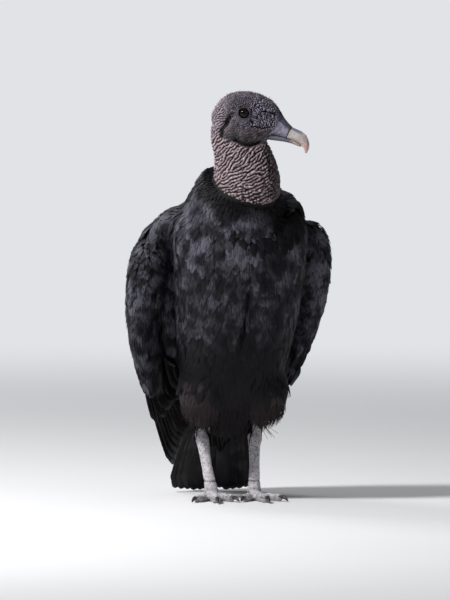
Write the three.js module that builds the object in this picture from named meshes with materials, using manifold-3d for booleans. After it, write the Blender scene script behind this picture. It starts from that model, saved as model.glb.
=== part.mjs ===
// A black vulture standing upright, life size, with its head turned to its left.
// Millimetres, +Z up. The bird faces -Y, so its left side is +X. z = 0 is the floor.
// Every piece is a closed three.js sphere drawn out along a spine; neighbours are parted with thin cuts.
import * as THREE from "three";
import { mergeVertices } from "three/addons/utils/BufferGeometryUtils.js";
import Module from "manifold-3d";

// ---------------------------------------------------------------- driving sizes
const GAP = 0.5; // air left between two pieces that touch
const HEAD_AT = [-2, -86, 479]; // middle of the head
const HEAD_TURN = 70; // degrees, to the bird's left of straight ahead
const SIDES = { right: -1, left: 1 };
const THROAT_DROP = 33; // from the middle of the head down to where the head meets the neck
const EYE_RADIUS = 7;
const EYE_AT = [3.6, 8.6, 15.3]; // ahead, up and out from the middle of the head
// Where the skin meets the cere and the cere meets the horn, with the normals of the two cuts.
const CERE_SEAM = { at: [46, -8], ahead: 0.9, up: -0.43 };
const HORN_SEAM = { at: [59, -15], ahead: 0.89, up: -0.45 };
const NOSTRIL = { at: [51.5, -10.5], slope: 39, wide: 1.2, long: 4 }; // slope in degrees below level
const EAR = { at: [-17, -3, 21], long: 2.4, deep: 4, high: 5.5 };
const COLLAR_TILT = 33; // degrees that the feather collar rises towards the nape
const FOOT_OUT = 27; // feet to the middle plane
const ANKLE = [34, 38, 84]; // out, back and up
const TAIL_ROOT = [0, 80, 142];
const TAIL_LENGTH = 176;
const TAIL_DOWN = 57; // degrees below level
const TAIL_FEATHERS = 6;
const TAIL_FAN = 11; // degrees that the outer tail feather turns out
const PRIMARIES = 4;
const SECONDARIES = 5;
// How the two wings differ: the left one is carried higher and its tip is tucked in harder.
const WINGS = {
  right: { side: -1, lift: 0, close: 0, tuck: 0, hunch: 0 },
  left: { side: 1, lift: 16, close: 5, tuck: 17, hunch: 8 },
};

// ---------------------------------------------------------------- colours
const paint = (color, roughness, metalness = 0) =>
  new THREE.MeshStandardMaterial({ color, roughness, metalness });
const PLUMAGE = paint(0x1b1b1f, 0.62);
const FLIGHT = paint(0x141417, 0.5);
const BARE_SKIN = paint(0x5a5358, 0.6);
const CERE = paint(0x6a6878, 0.5);
const IVORY = paint(0xd8c8bc, 0.4);
const MANDIBLE = paint(0x4a4a52, 0.5);
const LEG_SKIN = paint(0xb9b6bd, 0.7);
const CLAW = paint(0x1c1a1b, 0.35);
const EYE = paint(0x120c0a, 0.08);

// ---------------------------------------------------------------- forming tools
const wasm = await Module();
wasm.setup();

const vector = (p) => (p.isVector3 ? p : new THREE.Vector3(...p));
const through = (points) =>
  new THREE.CatmullRomCurve3(points.map(vector), false, "catmullrom", 0.5);
const power = (x, n) => Math.sign(x) * Math.abs(x) ** (2 / n);

// A closed three.js geometry as a solid that can be joined and cut.
function solid(geometry) {
  const bare = new THREE.BufferGeometry()
    .setAttribute("position", geometry.getAttribute("position"))
    .setIndex(geometry.index);
  const merged = mergeVertices(bare, 1e-3);
  return new wasm.Manifold(
    new wasm.Mesh({
      numProp: 3,
      vertProperties: merged.attributes.position.array,
      triVerts: new Uint32Array(merged.index.array),
    }),
  );
}

// A sphere whose latitudes run along 0 to 1 and whose longitudes run round. place gives each vertex
// its spot.
function formed(around, along, place) {
  const sphere = new THREE.SphereGeometry(1, around, along);
  const at = sphere.getAttribute("position");
  for (let i = 0; i < at.count; i++) {
    const polar = Math.acos(THREE.MathUtils.clamp(at.getY(i), -1, 1)) / Math.PI;
    const angle = Math.atan2(at.getZ(i), at.getX(i));
    const spot = place(polar, angle);
    at.setXYZ(i, spot.x, spot.y, spot.z);
  }
  let made = solid(sphere);
  if (made.volume() < 0) {
    const index = sphere.index.array;
    for (let i = 0; i < index.length; i += 3)
      [index[i], index[i + 1]] = [index[i + 1], index[i]];
    made = solid(sphere);
  }
  return made;
}

// How far a section has opened at t, for ends rounded over the first and last shares of the length.
function opening(t, [first, last]) {
  const near = Math.min(t / first, (1 - t) / last, 1);
  return Math.sqrt(Math.max(0, 1 - (1 - near) ** 2));
}

// A body drawn along a spine. Each station is { at, wide, front, back }: half its width to either
// side, and its reach to the front and the back of the spine.
function limb(stations, options) {
  const { side = [1, 0, 0], around = 16, along = 14, square = 2 } = options;
  const { round = [0.08, 0.08], grow = 0 } = options;
  const spine = through(stations.map((s) => s.at));
  const sizes = through(stations.map((s) => [s.wide, s.front ?? s.wide, s.back ?? s.front ?? s.wide]));
  const across = vector(side).clone().normalize();
  return formed(around, along, (polar, angle) => {
    const t = THREE.MathUtils.lerp(polar, (1 - Math.cos(polar * Math.PI)) / 2, 0.65);
    const tangent = spine.getTangent(THREE.MathUtils.clamp(t, 0.001, 0.999));
    const front = tangent.clone().cross(across).normalize();
    const sideways = front.clone().cross(tangent).normalize();
    const size = sizes.getPoint(t);
    const open = opening(t, round);
    const depth = Math.sin(angle) > 0 ? size.y : size.z;
    const point = spine.getPoint(t);
    const lengthwise = (t < 0.5 ? -1 : 1) * grow * (1 - open);
    return point
      .addScaledVector(sideways, power(Math.cos(angle), square) * (size.x + grow) * open)
      .addScaledVector(front, power(Math.sin(angle), square) * (depth + grow) * open)
      .addScaledVector(tangent, lengthwise);
  });
}

// The largest body of a solid, with slivers left by the cuts taken away.
function largest(made) {
  const bodies = made.simplify(0.2).decompose();
  return bodies.reduce((a, b) => (a.volume() > b.volume() ? a : b));
}

const joined = (solids) => solids.reduce((a, b) => a.add(b));
const without = (made, ...others) => others.reduce((a, b) => a.subtract(b), made);

// Both sides of a thin plane cut through point, whose normal points to the first of the two.
function parted(made, point, normal) {
  const n = vector(normal).clone().normalize();
  const offset = vector(point).dot(n);
  const upper = made.trimByPlane(n.toArray(), offset + GAP / 2);
  const lower = made.trimByPlane(n.clone().negate().toArray(), -offset + GAP / 2);
  return [upper, lower];
}

const model = new THREE.Group();
function add(name, made, material) {
  const mesh = largest(made).getMesh();
  const geometry = new THREE.BufferGeometry()
    .setAttribute("position", new THREE.BufferAttribute(mesh.vertProperties, 3))
    .setIndex(new THREE.BufferAttribute(mesh.triVerts, 1));
  const piece = new THREE.Mesh(geometry, material);
  piece.name = name;
  model.add(piece);
}

const onFloor = (made) => made.trimByPlane([0, 0, 1], 0);

// ---------------------------------------------------------------- trunk, with its feather collar
const TRUNK = [
  { at: [-2, -72, 418], wide: 38, front: 34, back: 36 },
  { at: [-8, -66, 390], wide: 50, front: 43, back: 58 },
  { at: [-2, -54, 358], wide: 82, front: 58, back: 84 },
  { at: [2, -40, 316], wide: 83, front: 74, back: 88 },
  { at: [3, -24, 270], wide: 80, front: 82, back: 86 },
  { at: [2, -4, 224], wide: 75, front: 80, back: 80 },
  { at: [1, 20, 178], wide: 68, front: 72, back: 68 },
  { at: [0, 44, 136], wide: 58, front: 58, back: 52 },
  { at: [0, 66, 102], wide: 42, front: 38, back: 36 },
  { at: [0, 86, 72], wide: 24, front: 18, back: 20 },
];
const trunkSolid = (grow = 0) =>
  limb(TRUNK, { around: 24, along: 18, square: 2.15, round: [0.03, 0.1], grow });

// ---------------------------------------------------------------- head and bill
// In the head's own directions.
const turn = THREE.MathUtils.degToRad(HEAD_TURN);
const forward = new THREE.Vector3(Math.sin(turn), -Math.cos(turn), 0);
const leftward = new THREE.Vector3(0, 0, 1).cross(forward);
const inHead = (ahead, up, out = 0) =>
  vector(HEAD_AT)
    .clone()
    .addScaledVector(forward, ahead)
    .addScaledVector(leftward, out)
    .add(new THREE.Vector3(0, 0, up));
// Stations run from the back of the skull to the hook of the bill.
const HEAD = [
  [-38, -8, 6, 7, 7],
  [-31, -4, 18, 21, 15],
  [-16, 0, 31, 27, 20.5],
  [0, 2, 33.5, 31, 21.5],
  [14, 1, 32, 31, 19.5],
  [27, -3, 28.5, 27, 16.5],
  [37, -7, 21.5, 18, 13.5],
  [46, -11, 14, 12.5, 11],
  [55, -16, 9.8, 8.5, 9.2],
  [64, -20, 9.2, 6.5, 7.8],
  [72, -24, 9.2, 5.5, 6.4],
  [77.5, -30, 5.8, 4.5, 4.4],
  [79, -36, 3.2, 2.6, 2.8],
  [78.5, -41.5, 1, 1, 1],
].map(([ahead, up, above, below, wide]) => ({ at: inHead(ahead, up), wide, front: above, back: below }));
const headSolid = (grow = 0) =>
  limb(HEAD, { side: leftward, around: 16, along: 25, square: 2.1, round: [0.1, 0.02], grow });

const NECK = [
  { at: inHead(-14, 4), wide: 22, front: 15, back: 15 },
  { at: inHead(-12, -13), wide: 31, front: 21, back: 21 },
  { at: [-6, -84, 444], wide: 34, front: 26, back: 26 },
  { at: [0, -82, 422], wide: 39, front: 32, back: 31 },
  { at: [4, -77, 398], wide: 42, front: 37, back: 36 },
  { at: [3, -68, 372], wide: 39, front: 37, back: 36 },
];
const neckSolid = (grow = 0) => limb(NECK, { around: 20, along: 10, round: [0.12, 0.12], grow });

const LOWER_BILL = [
  { at: inHead(30, -20), wide: 10.5, front: 4.5, back: 4.5 },
  { at: inHead(42, -22), wide: 8.2, front: 4, back: 3.8 },
  { at: inHead(54, -24), wide: 6.8, front: 3.4, back: 3.4 },
  { at: inHead(64, -27.4), wide: 5.4, front: 2.6, back: 2.8 },
  { at: inHead(73.4, -33), wide: 2.6, front: 1.2, back: 1.4 },
];
const lowerBill = (grow = 0) =>
  limb(LOWER_BILL, { side: leftward, around: 10, along: 8, square: 2.4, round: [0.08, 0.1], grow });

function eyeBall(side, grow = 0) {
  const ball = new THREE.SphereGeometry(EYE_RADIUS + grow, 11, 7);
  const [ahead, up, out] = EYE_AT;
  ball.translate(...inHead(ahead, up, out * side).toArray());
  return solid(ball);
}

// A slit right through the bill, and a shallow hollow behind each cheek for the ear.
const ACROSS_BILL = 40;
function nostril() {
  const slit = new THREE.SphereGeometry(1, 8, 6);
  slit.scale(NOSTRIL.long, ACROSS_BILL, NOSTRIL.wide);
  slit.rotateY(THREE.MathUtils.degToRad(NOSTRIL.slope));
  slit.rotateZ(turn - Math.PI / 2);
  slit.translate(...inHead(...NOSTRIL.at).toArray());
  return solid(slit);
}
function ear(side) {
  const hollow = new THREE.SphereGeometry(1, 8, 6);
  hollow.scale(EAR.long, EAR.deep, EAR.high);
  hollow.rotateZ(turn - Math.PI / 2);
  const [ahead, up, out] = EAR.at;
  hollow.translate(...inHead(ahead, up, side * out).toArray());
  return solid(hollow);
}

// Both sides of a cut across the bill.
function seamed(made, { at, ahead, up }) {
  const normal = forward.clone().multiplyScalar(ahead);
  normal.z = up;
  return parted(made, inHead(...at), normal);
}

function makeHead() {
  const jawCut = lowerBill(GAP);
  const eyes = Object.values(SIDES).map((side) => eyeBall(side, GAP));
  const ears = Object.values(SIDES).map(ear);
  const whole = without(headSolid(), jawCut, nostril(), ...ears);
  const [bill, skull] = seamed(whole, CERE_SEAM);
  const [horn, cere] = seamed(bill, HORN_SEAM);
  const [throat, lowNeck] = parted(skull.add(neckSolid()), [0, 0, HEAD_AT[2] - THROAT_DROP], [0, 0, 1]);
  add("head", without(throat, jawCut, ...eyes), BARE_SKIN);
  add("cere", cere, CERE);
  add("bill_upper", horn, IVORY);
  add("bill_lower", lowerBill(), MANDIBLE);
  for (const [name, side] of Object.entries(SIDES)) add(`eye_${name}`, eyeBall(side), EYE);
  const [bare] = parted(without(lowNeck, jawCut), collarPoint, collarNormal);
  add("neck", bare, BARE_SKIN);
}

const collarTurn = THREE.MathUtils.degToRad(COLLAR_TILT);
const collarPoint = new THREE.Vector3(4, -72, 394);
const collarNormal = new THREE.Vector3(
  0.42 * Math.sin(collarTurn),
  -0.9 * Math.sin(collarTurn),
  Math.cos(collarTurn),
).normalize();

// ---------------------------------------------------------------- legs and feet
const legPoint = (side, [out, back, up]) => [side * out, back, up];
const thighSolid = (side, grow = 0) =>
  limb(
    [
      { at: legPoint(side, [36, -12, 172]), wide: 32, front: 42, back: 42 },
      { at: legPoint(side, [39, 0, 138]), wide: 31, front: 40, back: 38 },
      { at: legPoint(side, [38, 15, 112]), wide: 25, front: 29, back: 28 },
      { at: legPoint(side, [35, 30, 92]), wide: 16, front: 16, back: 17 },
      { at: legPoint(side, [34, 37, 80]), wide: 10, front: 9.5, back: 11 },
    ],
    { around: 14, along: 9, round: [0.2, 0.1], grow },
  );
const shankSolid = (side, grow = 0) =>
  limb(
    [
      { at: legPoint(side, [34.5, 39, 92]), wide: 8.5, front: 8, back: 9 },
      { at: legPoint(side, ANKLE), wide: 9, front: 8.5, back: 9.5 },
      { at: legPoint(side, [32, 27, 62]), wide: 7, front: 6.6, back: 7.4 },
      { at: legPoint(side, [30, 15, 38]), wide: 6.4, front: 6, back: 6.6 },
      { at: legPoint(side, [27.5, 4, 17]), wide: 8, front: 7, back: 7.4 },
      { at: legPoint(side, [FOOT_OUT, 0, 6]), wide: 10, front: 8.5, back: 9.5 },
    ],
    { around: 10, along: 9, round: [0.06, 0.06], grow },
  );
// Toes: bearing in degrees out from straight ahead, reach to the last joint, thickness and claw length.
const TOES = {
  middle: { bearing: 4, reach: 63, thick: 6, claw: 17 },
  inner: { bearing: -27, reach: 44, thick: 5.2, claw: 15 },
  outer: { bearing: 34, reach: 49, thick: 5.2, claw: 13 },
  hind: { bearing: 172, reach: 22, thick: 4.6, claw: 12 },
};
const TOE_START = 4; // from the middle of the foot
function toePoint(side, toe, reach, up) {
  const bearing = THREE.MathUtils.degToRad(toe.bearing);
  return new THREE.Vector3(side * (FOOT_OUT + Math.sin(bearing) * reach), -Math.cos(bearing) * reach, up);
}
function toeSolid(side, toe, grow = 0) {
  const joints = [0, 0.3, 0.5, 0.72, 0.88, 1];
  const swell = [1.05, 0.9, 1.12, 0.88, 1.06, 0.8];
  const stations = joints.map((share, i) => {
    const up = toe.thick * (i ? 0.86 : 1.35) * (0.6 + 0.4 * swell[i]);
    const reach = TOE_START + share * (toe.reach - TOE_START);
    return { at: toePoint(side, toe, reach, up), wide: toe.thick * swell[i] };
  });
  return limb(stations, { side: [0, 0, 1], around: 8, along: 7, round: [0.1, 0.09], grow });
}
function clawSolid(side, toe) {
  const start = toe.reach - 1;
  const stations = [
    [0, toe.thick * 0.95, toe.thick * 0.58],
    [0.35, toe.thick * 1.15, toe.thick * 0.5],
    [0.72, toe.thick * 0.72, toe.thick * 0.34],
    [1, 0.9, 0.9],
  ].map(([share, up, wide]) => ({ at: toePoint(side, toe, start + share * toe.claw, up), wide }));
  return limb(stations, { side: [0, 0, 1], around: 6, along: 5, round: [0.2, 0.1] });
}

function makeLegs(trunk) {
  for (const [name, side] of Object.entries(SIDES)) {
    const shankCut = shankSolid(side, GAP);
    add(`thigh_${name}`, without(thighSolid(side), trunk, shankCut), PLUMAGE);
    add(`shank_${name}`, onFloor(shankSolid(side)), LEG_SKIN);
    const taken = [shankCut];
    for (const [toeName, toe] of Object.entries(TOES)) {
      const swollen = toeSolid(side, toe, GAP);
      add(`toe_${toeName}_${name}`, onFloor(without(toeSolid(side, toe), ...taken)), LEG_SKIN);
      add(`claw_${toeName}_${name}`, onFloor(without(clawSolid(side, toe), swollen)), CLAW);
      taken.push(swollen);
    }
  }
}

// ---------------------------------------------------------------- flight feathers
// One blade from root to tip: flat, bowed by sag towards the back, broadest past its middle.
function blade(root, tip, width, face, sag, thick, grow = 0) {
  const a = vector(root);
  const b = vector(tip);
  const outward = vector(face).clone().normalize();
  const across = b.clone().sub(a).cross(outward).normalize();
  const stations = [0, 0.35, 0.72, 0.93, 1].map((share, i) => ({
    at: a.clone().lerp(b, share).addScaledVector(outward, sag * Math.sin(share * Math.PI)),
    wide: width * [0.55, 0.85, 1, 0.72, 0.3][i],
    front: thick * [1, 1, 0.8, 0.6, 0.5][i],
  }));
  return limb(stations, { side: across, around: 4, along: 5, square: 2.6, round: [0.05, 0.06], grow });
}

function tailSolid(grow = 0) {
  const feathers = [];
  for (let i = 0; i < TAIL_FEATHERS; i++) {
    const place = (2 * i) / (TAIL_FEATHERS - 1) - 1;
    const out = THREE.MathUtils.degToRad(place * TAIL_FAN);
    const down = THREE.MathUtils.degToRad(TAIL_DOWN);
    const length = TAIL_LENGTH * (1 - 0.03 * place * place);
    const level = length * Math.cos(down);
    const root = [place * 16, TAIL_ROOT[1] - 3 * Math.abs(place), TAIL_ROOT[2]];
    const tip = [place * 16 + Math.sin(out) * length, root[1] + level, root[2] - length * Math.sin(down)];
    feathers.push(blade(root, tip, 13, [place * 0.25, 0.84, 0.54], 3, 1.6, grow));
  }
  return joined(feathers);
}

// ---------------------------------------------------------------- wings
const wingPoint = ({ side, lift, close, tuck }, [out, back, up]) => {
  const low = THREE.MathUtils.clamp((300 - up) / 200, 0, 1);
  const settled = THREE.MathUtils.clamp(up / 300, 0, 1);
  return new THREE.Vector3(side * (out - close - tuck * low * settled * 1.4), back, up + lift * settled);
};
// The shoulder feathers lie on the back, so a lifted wing does not raise them.
const mantlePoint = ({ side, hunch }, [out, back, up]) =>
  new THREE.Vector3(side * (out - hunch), back, up - hunch);
// The folded arm: rounded wrist in front, tapering down along the leading edge.
const armSolid = (wing, grow = 0) =>
  limb(
    [
      { at: wingPoint(wing, [95, 2, 333]), wide: 12, front: 20, back: 14 },
      { at: wingPoint(wing, [102, 8, 312]), wide: 23, front: 33, back: 34 },
      { at: wingPoint(wing, [105, 18, 280]), wide: 25, front: 41, back: 50 },
      { at: wingPoint(wing, [106, 34, 240]), wide: 21, front: 41, back: 54 },
      { at: wingPoint(wing, [101, 52, 200]), wide: 16, front: 37, back: 48 },
      { at: wingPoint(wing, [91, 72, 164]), wide: 10, front: 29, back: 36 },
      { at: wingPoint(wing, [82, 88, 140]), wide: 4, front: 18, back: 18 },
    ],
    { side: [0.9 * wing.side, 0.42, 0], around: 16, along: 12, round: [0.14, 0.12], grow },
  );
// Shoulder feathers over the upper arm, from the shoulder back to the elbow.
const shoulderSolid = (wing, grow = 0) =>
  limb(
    [
      { at: mantlePoint(wing, [56, -26, 366]), wide: 20, front: 10, back: 12 },
      { at: mantlePoint(wing, [73, 0, 350]), wide: 34, front: 14, back: 18 },
      { at: mantlePoint(wing, [84, 26, 320]), wide: 43, front: 18, back: 22 },
      { at: mantlePoint(wing, [72, 52, 270]), wide: 46, front: 18, back: 22 },
      { at: mantlePoint(wing, [56, 78, 218]), wide: 36, front: 14, back: 16 },
      { at: mantlePoint(wing, [42, 100, 172]), wide: 14, front: 6, back: 6 },
    ],
    { side: [0.8 * wing.side, -0.55, 0], around: 14, along: 11, round: [0.12, 0.1], grow },
  );
const secondarySolid = (wing, grow = 0) => {
  const feathers = [];
  for (let i = 0; i < SECONDARIES; i++) {
    const share = i / (SECONDARIES - 1);
    const root = wingPoint(wing, [102 - 54 * share, 62 + 12 * share, 200 + 50 * share]);
    const tip = wingPoint(wing, [58 - 44 * share, 126 - 4 * share, 96 + 46 * share]);
    feathers.push(blade(root, tip, 19, [wing.side * (1.3 - share), 0.9, 0.35], 6, 2.4, grow));
  }
  return joined(feathers);
};
const primarySolid = (wing, grow = 0) => {
  const feathers = [];
  for (let i = 0; i < PRIMARIES; i++) {
    const share = i / (PRIMARIES - 1);
    const root = wingPoint(wing, [109 - 22 * share, 46 + 22 * share, 196 + 8 * share]);
    const tip = wingPoint(wing, [41 - 13 * share, 170 - 4 * share, 34 + 19 * share]);
    feathers.push(blade(root, tip, 15, [wing.side, 0.75, -0.1], 10, 2.4, grow));
  }
  return joined(feathers);
};

// Each wing lies on the trunk and the tail, and the left one's inner feathers lie on the right one's.
function makeWings(trunk, tail) {
  const under = [trunk, tail];
  for (const [name, wing] of Object.entries(WINGS)) {
    const armCut = armSolid(wing, GAP);
    const shoulderCut = shoulderSolid(wing, GAP);
    const secondaryCut = secondarySolid(wing, GAP);
    add(`wing_arm_${name}`, without(armSolid(wing), trunk), PLUMAGE);
    add(`wing_shoulder_${name}`, without(shoulderSolid(wing), trunk, armCut), PLUMAGE);
    add(`wing_secondaries_${name}`, without(secondarySolid(wing), ...under, armCut, shoulderCut), FLIGHT);
    add(
      `wing_primaries_${name}`,
      without(primarySolid(wing), ...under, armCut, shoulderCut, secondaryCut),
      FLIGHT,
    );
    under.push(secondaryCut);
  }
}

// ---------------------------------------------------------------- the whole bird
const trunkCut = trunkSolid(GAP);
const tailCut = tailSolid(GAP);
const [, feathered] = parted(trunkSolid(), collarPoint, collarNormal);
makeHead();
add("trunk", without(feathered, shankSolid(-1, GAP), shankSolid(1, GAP)), PLUMAGE);
makeLegs(trunkCut);
add("tail", onFloor(without(tailSolid(), trunkCut)), FLIGHT);
makeWings(trunkCut, tailCut);

// The frame's origin is on the floor, under the middle of the model's box.
model.updateMatrixWorld(true);
const box = new THREE.Box3().setFromObject(model, true);
const middle = box.getCenter(new THREE.Vector3());
for (const piece of model.children) piece.geometry.translate(-middle.x, -middle.y, -box.min.z);

export default model;
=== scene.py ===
"""A life-size black vulture, standing: its skin, coat, horn and studio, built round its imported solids."""

import logging
import math
from dataclasses import dataclass, field
from enum import Enum

import bpy
import numpy as np
from mathutils import Matrix, Vector
from mathutils.bvhtree import BVHTree
from mathutils.kdtree import KDTree
from numpy.linalg import norm
from numpy.random import default_rng


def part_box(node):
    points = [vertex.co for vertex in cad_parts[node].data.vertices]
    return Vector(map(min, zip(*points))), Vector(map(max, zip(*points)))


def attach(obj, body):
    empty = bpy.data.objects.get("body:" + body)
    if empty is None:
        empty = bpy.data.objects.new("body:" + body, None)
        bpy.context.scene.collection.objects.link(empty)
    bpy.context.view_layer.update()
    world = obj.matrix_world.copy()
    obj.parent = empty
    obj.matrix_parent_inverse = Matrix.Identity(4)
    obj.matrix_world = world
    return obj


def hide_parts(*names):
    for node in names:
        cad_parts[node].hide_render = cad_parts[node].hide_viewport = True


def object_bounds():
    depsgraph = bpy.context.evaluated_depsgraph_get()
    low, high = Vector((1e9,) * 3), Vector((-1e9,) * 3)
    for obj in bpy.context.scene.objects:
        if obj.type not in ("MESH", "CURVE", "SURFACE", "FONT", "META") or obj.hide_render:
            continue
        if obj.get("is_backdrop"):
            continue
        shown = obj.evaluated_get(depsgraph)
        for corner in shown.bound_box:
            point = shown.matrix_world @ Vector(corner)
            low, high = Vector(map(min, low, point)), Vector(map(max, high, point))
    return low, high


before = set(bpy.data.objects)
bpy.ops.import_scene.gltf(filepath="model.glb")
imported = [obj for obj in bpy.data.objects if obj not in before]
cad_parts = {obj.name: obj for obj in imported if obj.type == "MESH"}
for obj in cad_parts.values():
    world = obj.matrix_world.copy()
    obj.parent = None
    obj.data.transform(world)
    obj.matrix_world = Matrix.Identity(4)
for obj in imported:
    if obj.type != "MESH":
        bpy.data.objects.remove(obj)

LOG = logging.getLogger("vulture")
BODY = "root"
UP = np.array([0.0, 0.0, 1.0])
TOES = ("middle", "inner", "outer", "hind")
EYE_AHEAD = 0.0036
EYE_ABOVE = 0.0086
EYE_RADIUS = 0.007
BAKE_MAP = "OFBake"
BAKE_PATCH = 0.003
VANE_MAP = "Vane"

Array = np.ndarray
Piece = bpy.types.Object
Socket = bpy.types.NodeSocket
Material = bpy.types.Material
Triple = tuple[float, float, float]
Colour = Triple
Line = tuple[tuple[float, float], ...]
Ends = tuple[Triple, Triple]


class Side(Enum):
    """The bird's two sides."""

    RIGHT = "right"
    LEFT = "left"

    @property
    def sign(self) -> int:
        """-1 on the bird's right, 1 on its left."""
        return -1 if self is Side.RIGHT else 1


class Region(Enum):
    """The parts of the bird that the skin covers."""

    HEAD = "head"
    NECK = "neck"
    CERE = "cere"
    TRUNK = "trunk"
    THIGH = "thigh"
    ARM = "wing_arm"
    SHOULDER = "wing_shoulder"
    LEG = "leg"

    def nodes(self) -> list[str]:
        """The frame's nodes in this region.

        Returns:
            Their names.
        """
        if self in (Region.HEAD, Region.NECK, Region.CERE, Region.TRUNK):
            return [self.value]
        if self is Region.LEG:
            return [f"{part}_{side.value}" for side in Side
                    for part in ("shank", *(f"toe_{toe}" for toe in TOES))]
        return [f"{self.value}_{side.value}" for side in Side]


BARE = (Region.HEAD, Region.NECK, Region.CERE)
FEATHERED = (Region.TRUNK, Region.THIGH, Region.ARM, Region.SHOULDER)


# ---- small geometry
def unit(vectors: Array) -> Array:
    """Vectors scaled to length 1."""
    vectors = np.asarray(vectors, float)
    return vectors / np.maximum(norm(vectors, axis=-1, keepdims=True), 1e-12)


def tangent(vectors: Array, normals: Array) -> Array:
    """The direction of vectors laid along a surface.

    Args:
        vectors: directions, one or one for each normal.
        normals: the surface's unit normals.

    Returns:
        Unit vectors at right angles to the normals.
    """
    vectors = np.broadcast_to(vectors, normals.shape)
    return unit(vectors - normals * (vectors * normals).sum(-1, keepdims=True))


def ease(value: Array, low: float, high: float) -> Array:
    """0 below low and 1 above high, with a smooth rise between them; low may be the greater."""
    share = np.clip((np.asarray(value, float) - low) / (high - low), 0.0, 1.0)
    return share * share * (3.0 - 2.0 * share)


def within(value: Array, low: float, high: float, soft: float) -> Array:
    """1 between low and high and 0 outside them, with soft edges."""
    return ease(value, low - soft, low + soft) * ease(value, high + soft, high - soft)


def to_line(points: Array, line: Line) -> Array:
    """Each point's distance to a polyline.

    Args:
        points: places on the line's own plane.
        line: the polyline's corners.

    Returns:
        A distance for each point.
    """
    best = np.full(len(points), np.inf)
    for start, end in zip(line[:-1], line[1:]):
        a, b = np.array(start), np.array(end)
        share = np.clip((points - a) @ (b - a) / ((b - a) @ (b - a)), 0.0, 1.0)
        best = np.minimum(best, norm(points - a - share[:, None] * (b - a), axis=1))
    return best


def groove(points: Array, line: Line, width: float) -> Array:
    """1 on a polyline, falling off to 0 a few widths away."""
    return bell(to_line(points, line), width)


def bell(offset: Array, width: float) -> Array:
    """1 where an offset is 0, falling off to 0 a few widths away."""
    return np.exp(-((offset / width) ** 2))


def blended(under: Array, over: Array | Colour, share: Array) -> Array:
    """Colours with another laid over them, by a share for each vertex."""
    share = share[:, None]
    return under * (1.0 - share) + np.array(over) * share


def grounded(places: Array) -> Array:
    """The same places with none below the floor."""
    return np.maximum(places, (-np.inf, -np.inf, 0.0))


def kd_tree(points: Array) -> KDTree:
    """A search tree of points.

    Args:
        points: the points.

    Returns:
        The tree, with their numbers as its entries.
    """
    tree = KDTree(len(points))
    for index, point in enumerate(points.tolist()):
        tree.insert(point, index)
    tree.balance()
    return tree


# ---- meshes
def link(piece: Piece) -> None:
    """Adds an object to the scene."""
    bpy.context.scene.collection.objects.link(piece)


def deselect() -> None:
    """Leaves nothing selected."""
    if bpy.context.object and bpy.context.object.mode != "OBJECT":
        bpy.ops.object.mode_set(mode="OBJECT")
    bpy.ops.object.select_all(action="DESELECT")


def activate(piece: Piece) -> None:
    """Selects one object alone and makes it the active one."""
    deselect()
    piece.select_set(True)
    bpy.context.view_layer.objects.active = piece


def apply(piece: Piece, kind: str, **settings: object) -> None:
    """Adds a modifier with these settings and applies it.

    Args:
        piece: the object.
        kind: the modifier's type.
        settings: its settings, by name.
    """
    activate(piece)
    modifier = piece.modifiers.new(kind.title(), kind)
    for name, value in settings.items():
        setattr(modifier, name, value)
    bpy.ops.object.modifier_apply(modifier=modifier.name)


def edit_all(piece: Piece, action: str = "SELECT") -> None:
    """Opens a mesh in edit mode with all of it selected, or none of it."""
    activate(piece)
    bpy.ops.object.mode_set(mode="EDIT")
    bpy.ops.mesh.select_all(action=action)


def smooth_shaded(piece: Piece) -> None:
    """Shades a whole object smooth."""
    activate(piece)
    bpy.ops.object.shade_smooth()


def copied(nodes: list[str], name: str) -> Piece:
    """One object with the joined and merged meshes of some of the frame's nodes.

    Args:
        nodes: the nodes' names.
        name: the new object's name.

    Returns:
        The object, with no material and no map.
    """
    deselect()
    copies = []
    for node in nodes:
        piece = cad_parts[node].copy()
        piece.data = piece.data.copy()
        piece.parent = None
        for key in list(piece.keys()):
            del piece[key]
        link(piece)
        copies.append(piece)
        piece.select_set(True)
    bpy.context.view_layer.objects.active = copies[0]
    if len(copies) > 1:
        bpy.ops.object.join()
    piece = copies[0]
    piece.name = piece.data.name = name
    edit_all(piece)
    bpy.ops.mesh.remove_doubles(threshold=1e-6)
    bpy.ops.object.mode_set(mode="OBJECT")
    piece.data.materials.clear()
    for layer in list(piece.data.uv_layers):
        piece.data.uv_layers.remove(layer)
    return piece


def pulled(items: bpy.types.bpy_prop_collection, name: str, width: int, kind: type = np.float32) -> Array:
    """One property of a mesh's vertices, edges or corners, as a row of numbers for each."""
    found = np.empty(len(items) * width, kind)
    items.foreach_get(name, found)
    return found.reshape(-1, width)


def coords(piece: Piece) -> Array:
    """The places of a mesh's vertices."""
    return pulled(piece.data.vertices, "co", 3).astype(float)


def move_to(piece: Piece, places: Array) -> None:
    """Puts a mesh's vertices at new places."""
    piece.data.vertices.foreach_set("co", places.astype(np.float32).ravel())
    piece.data.update()


def normals_of(piece: Piece) -> Array:
    """The unit normals at a mesh's vertices."""
    return pulled(piece.data.vertex_normals, "vector", 3).astype(float)


def edges_of(piece: Piece) -> Array:
    """The two vertices of each edge."""
    return pulled(piece.data.edges, "vertices", 2, np.int32)


def triangles_of(piece: Piece) -> Array:
    """The three vertices of each triangle."""
    piece.data.calc_loop_triangles()
    return pulled(piece.data.loop_triangles, "vertices", 3, np.int32)


def tree_of(piece: Piece) -> BVHTree:
    """A search tree of a mesh's faces."""
    return BVHTree.FromPolygons(coords(piece).tolist(), triangles_of(piece).tolist())


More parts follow.
